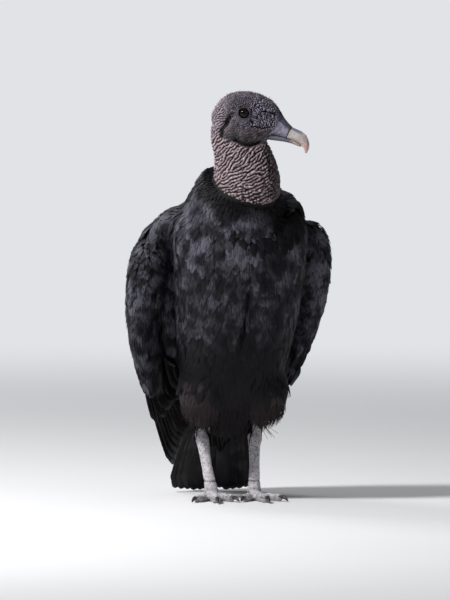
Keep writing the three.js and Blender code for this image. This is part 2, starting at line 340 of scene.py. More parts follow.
def spread(values: Array, edges: Array, rounds: int, factor: float = 0.5) -> Array:
    """Evens values out between neighbouring vertices.

    Args:
        values: one number or one vector for each vertex.
        edges: the mesh's edges.
        rounds: how many times each vertex moves towards its neighbours' mean.
        factor: the share of the way that it moves.

    Returns:
        The evened values.
    """
    values = np.array(values, float)
    flat = values.reshape(len(values), -1)
    both = np.concatenate([edges, edges[:, ::-1]])
    count = np.maximum(np.bincount(both[:, 0], minlength=len(flat)), 1)
    for _ in range(rounds):
        for axis in range(flat.shape[1]):
            total = np.bincount(both[:, 0], flat[both[:, 1], axis], minlength=len(flat))
            flat[:, axis] += factor * (total / count - flat[:, axis])
    return flat.reshape(values.shape)


def smoothed(places: Array, edges: Array, rounds: int, share: Array | float = 1.0) -> Array:
    """Takes facets out of a surface and keeps its volume, by steps in and out.

    Args:
        places: the vertices.
        edges: the mesh's edges.
        rounds: how many times it steps in and out.
        share: how freely each vertex moves, from 0 to 1.

    Returns:
        The vertices' new places.
    """
    share = np.asarray(share, float).reshape(-1, 1)
    for _ in range(rounds):
        places = places + share * (spread(places, edges, 1, 0.52) - places)
        places = places + share * (spread(places, edges, 1, -0.54) - places)
    return places


def distances(tree: BVHTree, points: Array) -> Array:
    """Each point's distance to a surface."""
    return np.array([tree.find_nearest(point)[3] for point in points.tolist()])


def write_mesh(name: str, places: Array, faces: Array) -> Piece:
    """A mesh object from places and from faces with one number of corners.

    Args:
        name: the object's name.
        places: its vertices.
        faces: the corners of its faces, as rows.

    Returns:
        The object.
    """
    mesh = bpy.data.meshes.new(name)
    mesh.vertices.add(len(places))
    mesh.vertices.foreach_set("co", places.astype(np.float32).ravel())
    mesh.loops.add(faces.size)
    mesh.loops.foreach_set("vertex_index", faces.astype(np.int32).ravel())
    mesh.polygons.add(len(faces))
    mesh.polygons.foreach_set("loop_start", np.arange(0, faces.size, faces.shape[1], dtype=np.int32))
    mesh.update(calc_edges=True)
    piece = bpy.data.objects.new(name, mesh)
    link(piece)
    return piece


def attribute(piece: Piece, name: str, values: Array) -> None:
    """Stores a number or a colour at each vertex.

    Args:
        piece: the object.
        name: the attribute's name.
        values: a number or a row for each vertex.
    """
    if values.ndim == 1:
        layer = piece.data.attributes.new(name, "FLOAT", "POINT")
        layer.data.foreach_set("value", values.astype(np.float32))
        return
    layer = piece.data.attributes.new(name, "FLOAT_COLOR", "POINT")
    full = np.ones((len(values), 4), np.float32)
    full[:, :3] = values
    layer.data.foreach_set("color", full.ravel())


def report(piece: Piece, material: Material, slot: str, nodes: list[str], **stored: Array) -> None:
    """Dresses a finished piece, rides it on the body, hides the nodes that it stands for, and logs it.

    Args:
        piece: the finished object.
        material: its material.
        slot: not used.
        nodes: the frame's nodes that it replaces.
        stored: the values at its vertices that its material reads, by name.
    """
    for name, values in stored.items():
        attribute(piece, name, values)
    piece.data.materials.append(material)
    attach(piece, BODY)
    if nodes:
        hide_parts(*nodes)
    LOG.info("%s: %d triangles", piece.name, len(triangles_of(piece)))


# ---- the head
@dataclass(frozen=True)
class HeadAxes:
    """Directions and places on the head, found from the two eyes in the frame."""

    middle: Array
    forward: Array
    left: Array

    @classmethod
    def found(cls) -> "HeadAxes":
        """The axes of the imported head, whose eyes are a little ahead of its middle and above it."""
        eyes = {side: centre_of(f"eye_{side.value}") for side in Side}
        left = unit(eyes[Side.LEFT] - eyes[Side.RIGHT])
        forward = np.cross(left, UP)
        between = (eyes[Side.LEFT] + eyes[Side.RIGHT]) / 2
        return cls(between - EYE_AHEAD * forward - EYE_ABOVE * UP, forward, left)

    def split(self, points: Array) -> tuple[Array, Array, Array]:
        """How far points are ahead of, above and to the left of the head's middle."""
        offset = points - self.middle
        return offset @ self.forward, offset @ UP, offset @ self.left


def centre_of(node: str) -> Array:
    """The middle of a node's box."""
    low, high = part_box(node)
    return np.array((low + high) / 2)


def over_neck(height: float) -> Array:
    """The place at a height on the upright line through the middle of the neck's box."""
    low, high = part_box("neck")
    return np.array([(low[0] + high[0]) / 2, (low[1] + high[1]) / 2, height])


# ---- wrinkles and scales
def wander(points: Array, size: float, seed: int) -> Array:
    """A smooth random number, mostly from -1 to 1, at each point.

    Args:
        points: the places.
        size: how far apart the swings are.
        seed: for their directions.

    Returns:
        The numbers.
    """
    rng = default_rng(seed)
    waves = unit(rng.normal(size=(14, 3))) * (2 * np.pi / size * rng.uniform(0.5, 1.5, (14, 1)))
    return np.sin(points @ waves.T + rng.uniform(0, 2 * np.pi, 14)).sum(1) / math.sqrt(7.0)


@dataclass(frozen=True)
class Ridges:
    """Wandering parallel folds of skin, which fork and end as real ones do."""

    spacing: float
    reach: float
    every: float
    seed: int
    unrest: float = 0.75

    def phase(self, points: Array, across: Array) -> Array:
        """The angle of the fold pattern at each point: 0 on a crest and pi in a crease.

        Args:
            points: places on the skin.
            across: the unit direction at right angles to the folds at each point.

        Returns:
            An angle for each point.
        """
        rng = default_rng(self.seed)
        tree = kd_tree(points)
        total = np.zeros(len(points), complex)
        seeds = scattered(points, self.every, rng)
        seeds = seeds[np.argsort(points[seeds, 2])]
        for seed in seeds:
            hits = tree.find_range(points[seed], self.reach)
            index = np.fromiter((hit[1] for hit in hits), int, len(hits))
            offset = points[index] - points[seed]
            fade = np.exp(-(offset ** 2).sum(1) / (0.16 * self.reach ** 2))
            start = total[seed]
            known = abs(start) > 0.25
            begin = np.angle(start) + rng.normal(0, self.unrest) if known else rng.uniform(0, 2 * np.pi)
            stretch = self.spacing * rng.uniform(0.85, 1.15)
            wave = 2 * np.pi / stretch * (offset @ across[seed]) + begin
            total[index] += fade * np.exp(1j * wave)
        return np.angle(total)

    def depth(self, points: Array, across: Array) -> Array:
        """The same pattern as a depth, from 0 on a crest to 1 in a crease."""
        return np.abs(np.sin(self.phase(points, across) / 2))


def scattered(points: Array, pitch: float, rng: np.random.Generator, room: Array | None = None) -> Array:
    """Picks points that keep their distance from each other.

    Args:
        points: the places to pick from.
        pitch: the smallest distance between two picks.
        rng: the source of their order.
        room: a share of pitch for each point, where the picks are to be closer.

    Returns:
        The indices of the picks.
    """
    order = rng.permutation(len(points))
    cells = np.floor(points / pitch).astype(int).tolist()
    places = points.tolist()
    gaps = (np.full(len(points), pitch) if room is None else pitch * room).tolist()
    taken: dict[tuple[int, int, int], list[list[float]]] = {}
    picks = []
    steps = [(i, j, k) for i in (-1, 0, 1) for j in (-1, 0, 1) for k in (-1, 0, 1)]
    for index in order.tolist():
        x, y, z = cells[index]
        px, py, pz = places[index]
        limit = gaps[index] ** 2
        near = (place for i, j, k in steps for place in taken.get((x + i, y + j, z + k), ()))
        if all((px - qx) ** 2 + (py - qy) ** 2 + (pz - qz) ** 2 >= limit for qx, qy, qz in near):
            taken.setdefault((x, y, z), []).append(places[index])
            picks.append(index)
    return np.array(picks, int)


def pebbles(points: Array, pitch: float, seed: int) -> tuple[Array, Array]:
    """A pattern of small cells.

    Args:
        points: places on the skin.
        pitch: the cells' size.
        seed: for their order.

    Returns:
        How far each point is from its cell's border, in pitches, and a random number for its cell.
    """
    rng = default_rng(seed)
    picks = scattered(points, pitch * 0.8, rng)
    tree = kd_tree(points[picks])
    nearest = [tree.find_n(point, 2) for point in points.tolist()]
    border = np.array([pair[1][2] - pair[0][2] for pair in nearest]) / pitch
    cell = np.array([pair[0][1] for pair in nearest])
    return border, rng.random(len(picks))[cell]


# ---- finishes
class Shader:
    """A material's node tree, filled in by short calls."""

    def __init__(self, name: str) -> None:
        """Starts a material with one Principled shader."""
        self.material = bpy.data.materials.new(name)
        self.material.use_nodes = True
        self.tree = self.material.node_tree
        self.surface = self.tree.nodes["Principled BSDF"]

    def node(self, kind: str, **settings: object) -> bpy.types.Node:
        """Adds a node; a setting named after an input fills that input or links it.

        Args:
            kind: the node's type.
            settings: its settings and inputs, by name.

        Returns:
            The node.
        """
        made = self.tree.nodes.new(kind)
        for name, value in settings.items():
            label = name.replace("_", " ").title()
            if label in made.inputs:
                self.feed(made.inputs[label], value)
            else:
                setattr(made, name, value)
        return made

    def feed(self, socket: Socket, value: object) -> None:
        """Links a socket to another, or sets its value."""
        if isinstance(value, Socket):
            self.tree.links.new(value, socket)
        else:
            socket.default_value = value

    def read(self, name: str, output: str = "Fac") -> Socket:
        """A stored attribute."""
        return self.node("ShaderNodeAttribute", attribute_name=name).outputs[output]

    def place(self) -> Socket:
        """Object coordinates."""
        return self.node("ShaderNodeTexCoord").outputs["Object"]

    def noise(self, vector: Socket, scale: float, detail: float = 3.0) -> Socket:
        """Noise from 0 to 1."""
        return self.node("ShaderNodeTexNoise", vector=vector, scale=scale, detail=detail).outputs["Fac"]

    def math(self, operation: str, first: object, second: object = 0.0) -> Socket:
        """The result of one operation on two numbers or sockets."""
        made = self.node("ShaderNodeMath", operation=operation)
        self.feed(made.inputs[0], first)
        self.feed(made.inputs[1], second)
        return made.outputs[0]

    def times(self, first: object, second: object) -> Socket:
        """The product of two numbers."""
        return self.math("MULTIPLY", first, second)

    def span(self, value: Socket, low: float, high: float, start: float = 0.0, end: float = 1.0) -> Socket:
        """A number taken smoothly from low..high to start..end.

        Args:
            value: the number.
            low: where it starts.
            high: where it ends.
            start: what low becomes.
            end: what high becomes.

        Returns:
            The result.
        """
        made = self.node("ShaderNodeMapRange", interpolation_type="SMOOTHSTEP")
        for socket, setting in zip(made.inputs, (value, low, high, start, end)):
            self.feed(socket, setting)
        return made.outputs[0]

    def mix(self, share: object, first: object, second: object, blend: str = "MIX") -> Socket:
        """Two colours mixed.

        Args:
            share: how much of the second.
            first: a colour or a socket.
            second: the other.
            blend: how they mix.

        Returns:
            The colour.
        """
        made = self.tree.nodes.new("ShaderNodeMix")
        made.data_type = "RGBA"
        made.blend_type = blend
        for index, value in ((0, share), (6, first), (7, second)):
            self.feed(made.inputs[index], (*value, 1.0) if isinstance(value, tuple) else value)
        return made.outputs[2]

    def bump(self, height: Socket, distance: float, strength: float = 1.0) -> None:
        """Raises the surface's shading by a height."""
        made = self.node("ShaderNodeBump", height=height, distance=distance, strength=strength)
        self.tree.links.new(made.outputs[0], self.surface.inputs["Normal"])

    def finish(self, tone: Socket, rough: object, **constants: float) -> Material:
        """Fills in the surface.

        Args:
            tone: its colour.
            rough: its roughness.
            constants: numbers for its other inputs, by name.

        Returns:
            The material.
        """
        self.feed(self.surface.inputs["Base Color"], tone)
        self.feed(self.surface.inputs["Roughness"], rough)
        for name, value in constants.items():
            self.surface.inputs[name.replace("_", " ")].default_value = value
        return self.material


@dataclass(frozen=True)
class SkinFinish:
    """Bare skin: painted from its regions, with painted shade darkening its creases and folds, finely
    grained.
    """

    # crease: the colour of the painted shade in the skin's creases, folds and grooves and under the coat;
    # on the legs it also darkens the scales' own borders.
    crease: Colour = (0.006, 0.005, 0.006)
    speck: Colour = (0.035, 0.032, 0.04)
    grain: float = 1500.0
    scales: float = 620.0
    spots: float = 470.0

    def material(self) -> Material:
        """The skin's material.

        Returns:
            The finished material.
        """
        shade = Shader("bare_skin")
        place = shade.place()
        tint = shade.read("tint", "Color")
        crease = shade.read("crease")
        leg = shade.read("leg")
        mottle = shade.span(shade.noise(place, 160.0), 0.3, 0.75, 0.8, 1.2)
        grain = shade.noise(place, self.grain, 4.0)
        fine = shade.mix(shade.span(grain, 0.3, 0.7), (0.82, 0.8, 0.8), (1.12, 1.1, 1.12))
        broad = shade.node("ShaderNodeCombineColor", red=mottle, green=mottle, blue=mottle).outputs[0]
        tone = shade.mix(1.0, shade.mix(1.0, tint, fine, "MULTIPLY"), broad, "MULTIPLY")
        scales = shade.node("ShaderNodeTexVoronoi", vector=place, scale=self.scales,
                            feature="DISTANCE_TO_EDGE")
        border = shade.span(scales.outputs["Distance"], 0.02, 0.16, 1.0, 0.0)
        tone = shade.mix(shade.times(self.specks(shade, place, border), leg), tone, self.speck)
        # Painted shade: the stored crease share darkens creases, folds, grooves and the skin under the coat
        # towards near black; on the legs a little of it is the scales' own dark borders.
        tone = shade.mix(crease, tone, self.crease)
        rough = shade.math("ADD", shade.span(grain, 0.2, 0.8, 0.42, 0.62), shade.times(crease, 0.36))
        shade.bump(shade.math("ADD", grain, shade.times(shade.times(border, leg), -1.4)), 0.00025, 0.6)
        return shade.finish(tone, rough, Specular_IOR_Level=0.33)

    def specks(self, shade: Shader, place: Socket, border: Socket) -> Socket:
        """The leg's dark specks, more of them higher up, over the thin dark borders of its scales.

        Args:
            shade: the material.
            place: Object coordinates.
            border: 1 on a scale's border.

        Returns:
            How dark each place is.
        """
        spots = shade.node("ShaderNodeTexVoronoi", vector=place, scale=self.spots)
        dot = shade.span(spots.outputs["Distance"], 0.24, 0.42, 1.0, 0.0)
        height = shade.node("ShaderNodeSeparateXYZ", vector=place).outputs[2]
        limit = shade.math("SUBTRACT", 0.62, shade.span(height, 0.02, 0.085, 0.0, 0.42))
        picked = shade.node("ShaderNodeSeparateColor", color=spots.outputs["Color"]).outputs[0]
        wear = shade.span(shade.noise(place, 70.0), 0.3, 0.7, -0.25, 0.25)
        chosen = shade.math("GREATER_THAN", shade.math("ADD", picked, wear), limit)
        return shade.math("MAXIMUM", shade.times(dot, chosen), shade.times(border, 0.22))


@dataclass(frozen=True)
class PlumageFinish:
    """Black feathers: streaked along their barbs, with a violet-grey sheen painted onto the raised tips as
    a painted highlight.
    """

    name: str
    deep: Colour
    # The colour of the painted sheen: a painted highlight standing in for light glancing off the feathers.
    painted_sheen: Colour
    brown: Colour
    rough: tuple[float, float]
    streaks: float
    gloss: float

    def material(self) -> Material:
        """The coat's material.

        Returns:
            The finished material.
        """
        shade = Shader(self.name)
        place = shade.place()
        vane = shade.node("ShaderNodeUVMap", uv_map=VANE_MAP).outputs[0]
        parts = shade.node("ShaderNodeSeparateXYZ", vector=vane)
        across, along = parts.outputs[0], parts.outputs[1]
        # The stored 'shade' is each feather's share of the painted sheen.
        each = shade.read("shade")
        brown = shade.read("brown")
        barbs = shade.node("ShaderNodeCombineXYZ", x=shade.times(across, self.streaks),
                           y=shade.times(along, 2.2), z=shade.times(each, 41.0))
        streak = shade.noise(barbs.outputs[0], 1.0, 2.0)
        mottle = shade.noise(place, 55.0, 6.0)
        # lift: how much painted sheen each spot gets, more towards the tip, along the streaks, in soft
        # patches and by the feather's share.
        lift = shade.span(along, 0.1, 0.9, 0.55, 1.0)
        lift = shade.times(lift, shade.span(streak, 0.25, 0.75, 0.12, 1.0))
        lift = shade.times(lift, shade.span(mottle, 0.38, 0.72, 0.10, 1.0))
        lift = shade.times(lift, shade.span(each, 0.0, 2.0, 0.03, 3.0))
        base = shade.mix(brown, self.deep, self.brown)
        # The painted sheen's colour, a paler brown on the brown feathers.
        raised = shade.mix(brown, self.painted_sheen, tuple(channel * 1.8 for channel in self.brown))
        shade.bump(streak, 0.0005, 0.5)
        return shade.finish(shade.mix(lift, base, raised), shade.span(streak, 0.3, 0.7, *self.rough),
                            Specular_IOR_Level=self.gloss)


@dataclass(frozen=True)
class HornFinish:
    """Horn of the bill: pale, dark along its ridge, warming to its tip."""

    name: str
    base: Colour
    tip: Colour
    ridge: Colour
    rough: float = 0.34

    def material(self) -> Material:
        """The horn's material.

        Returns:
            The finished material.
        """
        shade = Shader(self.name)
        place = shade.place()
        cloud = shade.noise(place, 210.0, 4.0)
        drawn = shade.node("ShaderNodeMapping", vector=place, scale=(260.0, 260.0, 900.0)).outputs[0]
        lines = shade.noise(drawn, 1.0, 3.0)
        cloudy = shade.mix(shade.span(cloud, 0.3, 0.7), (0.8, 0.78, 0.78), (1.1, 1.1, 1.1))
        tone = shade.mix(1.0, shade.mix(shade.read("tip"), self.base, self.tip), cloudy, "MULTIPLY")
        ridge = shade.times(shade.read("ridge"), shade.span(cloud, 0.2, 0.7, 0.75, 1.0))
        shade.bump(lines, 0.0003, 0.35)
        return shade.finish(shade.mix(ridge, tone, self.ridge),
                            shade.span(lines, 0.3, 0.7, self.rough - 0.06, self.rough + 0.14),
                            Specular_IOR_Level=0.5)


@dataclass(frozen=True)
class EyeFinish:
    """A wet, very dark brown eye."""

    iris: Colour = (0.006, 0.003, 0.002)
    rim: Colour = (0.002, 0.0015, 0.0015)

    def material(self) -> Material:
        """The eye's material.

        Returns:
            The finished material.
        """
        shade = Shader("eye")
        bend = shade.read("iris")
        fleck = shade.noise(shade.place(), 1400.0, 3.0)
        ring = shade.times(shade.span(bend, 0.40, 0.46), shade.span(bend, 0.72, 0.64))
        tone = shade.mix(shade.times(ring, shade.span(fleck, 0.3, 0.7, 0.6, 1.0)), self.rim, self.iris)
        return shade.finish(tone, shade.span(fleck, 0.2, 0.8, 0.04, 0.08), Specular_IOR_Level=0.20,
                            Coat_Weight=0.1, Coat_Roughness=0.02)


# The third colour of each finish is its painted sheen, a painted highlight on the feathers.
COAT = PlumageFinish("plumage", (0.0036, 0.0036, 0.0046), (0.100, 0.098, 0.122), (0.036, 0.0275, 0.0300),
                     (0.46, 0.72), 9.0, 0.10)
FLIGHT = PlumageFinish("flight_feathers", (0.004, 0.004, 0.005), (0.045, 0.045, 0.054),
                       (0.014, 0.011, 0.010), (0.38, 0.6), 7.0, 0.2)
HORN = HornFinish("bill_horn", (0.475, 0.430, 0.410), (0.60, 0.33, 0.29), (0.10, 0.11, 0.17))
LOWER_HORN = HornFinish("lower_bill", (0.125, 0.12, 0.158), (0.42, 0.33, 0.29), (0.03, 0.03, 0.04), 0.4)
CLAW = HornFinish("claw", (0.045, 0.04, 0.042), (0.02, 0.018, 0.018), (0.09, 0.085, 0.09), 0.32)


# ---- the skin
@dataclass
class Skin:
    """One skin over the head, neck, body, wings and legs, sunk under the coat where it is feathered."""

    axes: HeadAxes
    voxel: float = 0.002
    swell: float = 0.0006
    depths: dict[Region, float] = field(default_factory=lambda: {
        Region.TRUNK: 0.0028, Region.THIGH: 0.0026, Region.ARM: 0.0026, Region.SHOULDER: 0.0028})
    fairness: dict[Region, float] = field(default_factory=lambda: {
        Region.TRUNK: 1.0, Region.THIGH: 0.85, Region.ARM: 0.30, Region.SHOULDER: 0.30})
    fair_rounds: int = 56
    hidden_share: float = 0.10
    tucked: float = 0.0014
    bare_top: float = 0.100
    trouser_height: float = 0.056
    leg_radius: float = 0.0060
    keel_depth: float = 0.0075
    keel_width: float = 0.0055
    left_slope: float = 0.0165
    ridge_line: float = -0.075

    def build(self) -> None:
        """Makes the skin and keeps a copy of its plain shape, the bed that the coat is rooted in."""
        piece = self.cast()
        self.sort_regions(piece)
        self.sink(piece)
        self.bed = piece.copy()
        self.bed.data = piece.data.copy()
        self.bed_depth = self.depth
        self.bed_faces = triangles_of(self.bed)
        self.bed_feathered = self.feathered
        self.bed_leg = self.leg
        self.refine(piece)
        self.tuck(piece)
        self.dress(piece)

    def cast(self) -> Piece:
        """Joins the nodes of flesh into one even, smooth mesh."""
        piece = copied([node for region in Region for node in region.nodes()], "skin")
        apply(piece, "DISPLACE", strength=self.swell, mid_level=0.0)
        apply(piece, "REMESH", mode="VOXEL", voxel_size=self.voxel)
        return piece

    def sort_regions(self, piece: Piece) -> None:
        """Finds how feathered each vertex is and how much leg, and smooths the surface to suit.

        Args:
            piece: the cast skin.
        """
        places = coords(piece)
        edges = edges_of(piece)
        gaps = {region: distances(node_tree(region.nodes()), places) for region in Region}
        bare = np.minimum.reduce([gaps[region] for region in BARE])
        coat = np.minimum.reduce([gaps[region] for region in FEATHERED])
        leg = gaps[Region.LEG]
        self.feathered = spread(ease(np.minimum(bare, leg) - coat, -0.0015, 0.0015), edges, 2)
        self.leg = spread(ease(np.minimum(bare, coat) - leg, -0.001, 0.001), edges, 2)
        self.nearest = np.argmin(np.array([gaps[region] for region in Region]), axis=0)
        self.gaps = gaps
        firm = 1.0 - 0.85 * ease(0.10 - places[:, 2], 0.0, 0.03) * self.leg
        places = smoothed(places, edges, 30, firm)
        places = self.trouser(self.fair(places, edges, piece), edges)
        normals = normals_of(piece)
        move_to(piece, grounded(places - normals * (self.swell * 0.7)))

    def fair(self, places: Array, edges: Array, piece: Piece) -> Array:
        """Takes the broad ripples out of the body and, less, out of the wings.

        Args:
            places: its vertices.
            edges: its edges.
            piece: the skin.

        Returns:
            The vertices' new places.
        """
        share = np.array([self.fairness.get(region, 0.0) for region in Region])[self.nearest]
        share = share * ease(np.minimum(self.gaps[Region.NECK], self.gaps[Region.LEG]), 0.004, 0.014)
        share = spread(share, edges, 6)[:, None]
        wide = self.evened(places, edges, share)
        move_to(piece, wide)
        return wide + self.evened(places - wide, edges, share)

    def evened(self, values: Array, edges: Array, share: Array) -> Array:
        """Values evened out between neighbours, at each vertex by its own share."""
        for _ in range(self.fair_rounds):
            values = values + share * (spread(values, edges, 1, 0.5) - values)
        return values

    def trouser(self, places: Array, edges: Array) -> Array:
        """Draws the lower end of each thigh in, so that the leg is bare up to the feathers.

        Args:
            places: the skin's vertices.
            edges: its edges.

        Returns:
            The vertices' new places.
        """
        places = places.copy()
        for side in Side:
            shank = coords(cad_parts[f"shank_{side.value}"])
            top, base = shank[:, 2].max(), shank[:, 2].min()
            upper = shank[shank[:, 2] > base + 0.75 * (top - base)].mean(0)
            lower = shank[np.abs(shank[:, 2] - base - 0.4 * (top - base)) < 0.15 * (top - base)].mean(0)
            axis = (upper - lower) / (upper - lower)[2]
            middle = upper + (places[:, 2] - upper[2])[:, None] * axis
            offset = places - middle
            reach = norm(offset, axis=1)
            near = (reach < 0.06) & (self.gaps[Region.THIGH] < 0.004) & (self.leg < 0.5)
            near &= (places[:, 0] - centre_of("tail")[0]) * side.sign > 0.0
            near = spread(1.0 * near, edges, 4)
            below = self.bare_top + self.trouser_height - places[:, 2]
            pull = np.clip(below / 0.060, 0.0, 1.0) ** 1.2 * near
            close = np.minimum(reach, self.leg_radius + 0.10 * np.maximum(reach - self.leg_radius, 0.0))
            share = (pull * (1.0 - close / np.maximum(reach, 1e-9)))[:, None]
            drawn = places - offset * share
            drawn[:, 2] += pull * 0.22 * np.maximum(reach - close, 0.0)
            places = drawn
            offset = places - (upper + (places[:, 2] - upper[2])[:, None] * axis)
            bare = near * ease(places[:, 2], self.bare_top + 0.002, self.bare_top - 0.002)
            bare *= ease(norm(offset, axis=1), 0.016, 0.012)
            self.leg = np.maximum(self.leg, bare)
        self.leg = spread(self.leg, edges, 1)
        self.feathered = np.minimum(self.feathered, 1.0 - self.leg)
        loose = within(places[:, 2], self.bare_top - 0.016, self.bare_top + 0.020, 0.004)
        return smoothed(places, edges, 24, spread(loose, edges, 2))

    def sink(self, piece: Piece) -> None:
        """Lowers the feathered skin by the coat's depth, less where the body is thin.

        Args:
            piece: the skin.
        """
        places = coords(piece)
        normals = normals_of(piece)
        edges = edges_of(piece)
        tree = tree_of(piece)
        regions = list(Region)
        wanted = np.array([self.depths.get(regions[index], 0.0) for index in self.nearest])
        for index in np.flatnonzero(wanted > 0.0):
            start = Vector(places[index] - normals[index] * 0.0005)
            hit = tree.ray_cast(start, Vector(-normals[index]), 0.05)
            if hit[0] is not None:
                wanted[index] = min(wanted[index], 0.28 * hit[3])
        wanted = spread(wanted * ease(self.feathered, 0.3, 1.0), edges, 10)
        self.depth = wanted.copy()
        wanted = wanted + self.furrows(places, self.gaps[Region.NECK]) * self.feathered
        move_to(piece, smoothed(places - normals * wanted[:, None], edges, 4, ease(wanted, 0.0, 0.003)))

    def furrows(self, places: Array, collar: Array) -> Array:
        """How much deeper the body lies in the furrow of the chest and under the roll of the ruff.

        Args:
            places: points on the body.
            collar: their distances from the neck.

        Returns:
            A depth for each point.
        """
        low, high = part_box("trunk")
        middle = centre_of("tail")[0]
        front = ease(places[:, 1], -0.02, -0.05)
        rise = (places[:, 2] - low[2]) / (high[2] - low[2])
        keel = bell(places[:, 0] - middle - 0.030 * (rise - 0.5), self.keel_width)
        furrow = self.keel_depth * keel * within(rise, 0.36, 0.58, 0.08)
        roll = 0.0045 * bell(collar - 0.036, 0.006) - 0.0025 * bell(collar - 0.018, 0.008)
        beside = ease(np.abs(places[:, 0] - middle), 0.075, 0.045)
        around = places - over_neck(0.0)
        around = around / np.maximum(np.hypot(around[:, 0], around[:, 1]), 1e-9)[:, None]
        slope = ease(np.abs(around[:, 0]), 0.35, 0.80) * ease(around[:, 1], -0.75, -0.35)
        slope = slope * ease(rise, 0.70, 0.80)
        left = bell(collar - 0.021, 0.012) * self.left_slope
        right = bell(collar - 0.012, 0.009) * 0.0040 - bell(collar - 0.036, 0.014) * 0.0050
        slope = slope * np.where(around[:, 0] > 0, left, right)
        return front * (furrow + roll * beside * ease(rise, 0.62, 0.72)) + slope

    def refine(self, piece: Piece) -> None:
        """Thins the mesh under the coat and divides it where the bare skin needs fine detail.

        Args:
            piece: the skin.
        """
        group = piece.vertex_groups.new(name="hidden")
        for level in np.arange(1, 11) / 10:
            held = np.flatnonzero(np.abs(self.feathered - level) <= 0.05)
            group.add([int(index) for index in held], float(level), "REPLACE")
        covered = float((self.feathered > 0.5).mean())
        apply(piece, "DECIMATE", ratio=1.0 - (1.0 - self.hidden_share) * covered,
              vertex_group="hidden", vertex_group_factor=10.0)
        piece.vertex_groups.clear()
        self.measure(piece)
        places = coords(piece)
        self.divide(piece, (self.feathered < 0.6) & ~((self.leg > 0.5) & (places[:, 2] > 0.028)))
        ahead, up, out = self.axes.split(coords(piece))
        face = within(ahead, -0.011, 0.044, 0.001) * within(up, -0.013, 0.029, 0.001)
        self.divide(piece, (face > 0.5) & (np.abs(out) > 0.006))

    def tuck(self, piece: Piece) -> None:
        """Draws the thinned skin in under the coat, clear of the feathers' roots.

        Args:
            piece: the skin.
        """
        tree = tree_of(self.bed)
        places = coords(piece)
        depth = np.array([self.bed_depth[self.bed_faces[tree.find_nearest(point)[2]]].mean()
                          for point in places.tolist()])
        amount = self.tucked * ease(self.feathered, 0.6, 1.0) * ease(depth, 0.0, 0.0024)
        move_to(piece, places - normals_of(piece) * amount[:, None])

    def divide(self, piece: Piece, chosen: Array) -> None:
        """Divides the faces whose corners are all chosen, and smooths the new points in.

        Args:
            piece: the skin.
            chosen: whether each vertex is chosen.
        """
        faces = [all(chosen[list(polygon.vertices)]) for polygon in piece.data.polygons]
        edit_all(piece, "DESELECT")
        bpy.ops.object.mode_set(mode="OBJECT")
        piece.data.polygons.foreach_set("select", faces)
        bpy.ops.object.mode_set(mode="EDIT")
        bpy.ops.mesh.subdivide(number_cuts=1)
        bpy.ops.object.mode_set(mode="OBJECT")
        self.measure(piece)
        places = coords(piece)
        move_to(piece, smoothed(places, edges_of(piece), 3, (self.feathered < 0.5) * 1.0))

    def measure(self, piece: Piece) -> None:
        """Carries the shares of feathers and of leg from the bed to the present mesh."""
        tree = kd_tree(coords(self.bed))
        places = coords(piece).tolist()
        nearest = np.array([[hit[1] for hit in tree.find_n(place, 3)] for place in places])
        self.feathered = self.bed_feathered[nearest].mean(1)
        self.leg = self.bed_leg[nearest].mean(1)

    def dress(self, piece: Piece) -> None:
        """Raises the folds, lids and scales, and stores the colours that go with them, with painted shade
        in the creases and under the coat.

        Args:
            piece: the skin.
        """
        places = coords(piece)
        normals = normals_of(piece)
        face = Face(self.axes)
        height, crease, tint = face.relief(places, normals, self.feathered)
        leg_height, leg_crease, leg_tint = Scutes().relief(places, normals, self.leg)
        height = height * (1.0 - self.leg) + leg_height * self.leg
        crease = crease * (1.0 - self.leg) + leg_crease * self.leg
        # Painted shade: the skin under the coat, and where it meets the coat at the neck's base, is painted
        # the coat's deep black and counted as crease, standing in for the coat's shadow.
        start = np.where(self.leg > 0.05, 0.35, 0.03)
        dark = ease(self.feathered, start, start + 0.25)
        tint = blended(blended(tint, leg_tint, self.leg), COAT.deep, dark)
        places = places + normals * (height * (1.0 - dark))[:, None]
        move_to(piece, grounded(face.sockets(places)))
        smooth_shaded(piece)
        nodes = [node for region in Region for node in region.nodes()]
        report(piece, SkinFinish().material(), "bare_skin", nodes,
               tint=tint, crease=np.clip(np.maximum(crease, dark), 0.0, 1.0), leg=self.leg)


def node_tree(nodes: list[str]) -> BVHTree:
    """One search tree of several of the frame's nodes.

    Args:
        nodes: the nodes' names.

    Returns:
        The tree.
    """
    places: list[list[float]] = []
    faces: list[list[int]] = []
    for node in nodes:
        first = len(places)
        places += coords(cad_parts[node]).tolist()
        faces += (triangles_of(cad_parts[node]) + first).tolist()
    return BVHTree.FromPolygons(places, faces)


@dataclass(frozen=True)
class Crease:
    """A strong crease of the face, drawn on the side of the head: ahead of its middle and above it."""

    line: Line
    width: float
    strength: float


EAR = Crease(((-0.0145, 0.004), (-0.0185, -0.004), (-0.0235, -0.011), (-0.0245, -0.019)), 0.0040, 1.0)
JAW = Crease(((-0.006, -0.0245), (0.004, -0.0295), (0.0125, -0.031), (0.021, -0.0275), (0.030, -0.0215),
              (0.040, -0.0195)), 0.0022, 0.95)
BEFORE_EYE = Crease(((0.0135, 0.014), (0.0150, 0.005), (0.0150, -0.0045)), 0.0008, 0.85)
CHEEK = Crease(((0.018, -0.008), (0.026, -0.0105), (0.036, -0.0085)), 0.0008, 0.75)
FOREHEAD = Crease(((0.029, 0.0112), (0.036, 0.0098), (0.043, 0.0068)), 0.0009, 0.8)
NECK_FOLDS = Ridges(0.0043, 0.0068, 0.0031, 11, 1.25)
NECK_SPLITS = Ridges(0.0058, 0.0075, 0.0040, 12, 1.2)
NAPE_FOLDS = Ridges(0.0031, 0.0062, 0.0030, 13, 0.9)
CERE_LINES = Ridges(0.0019, 0.0075, 0.0045, 14, 0.5)
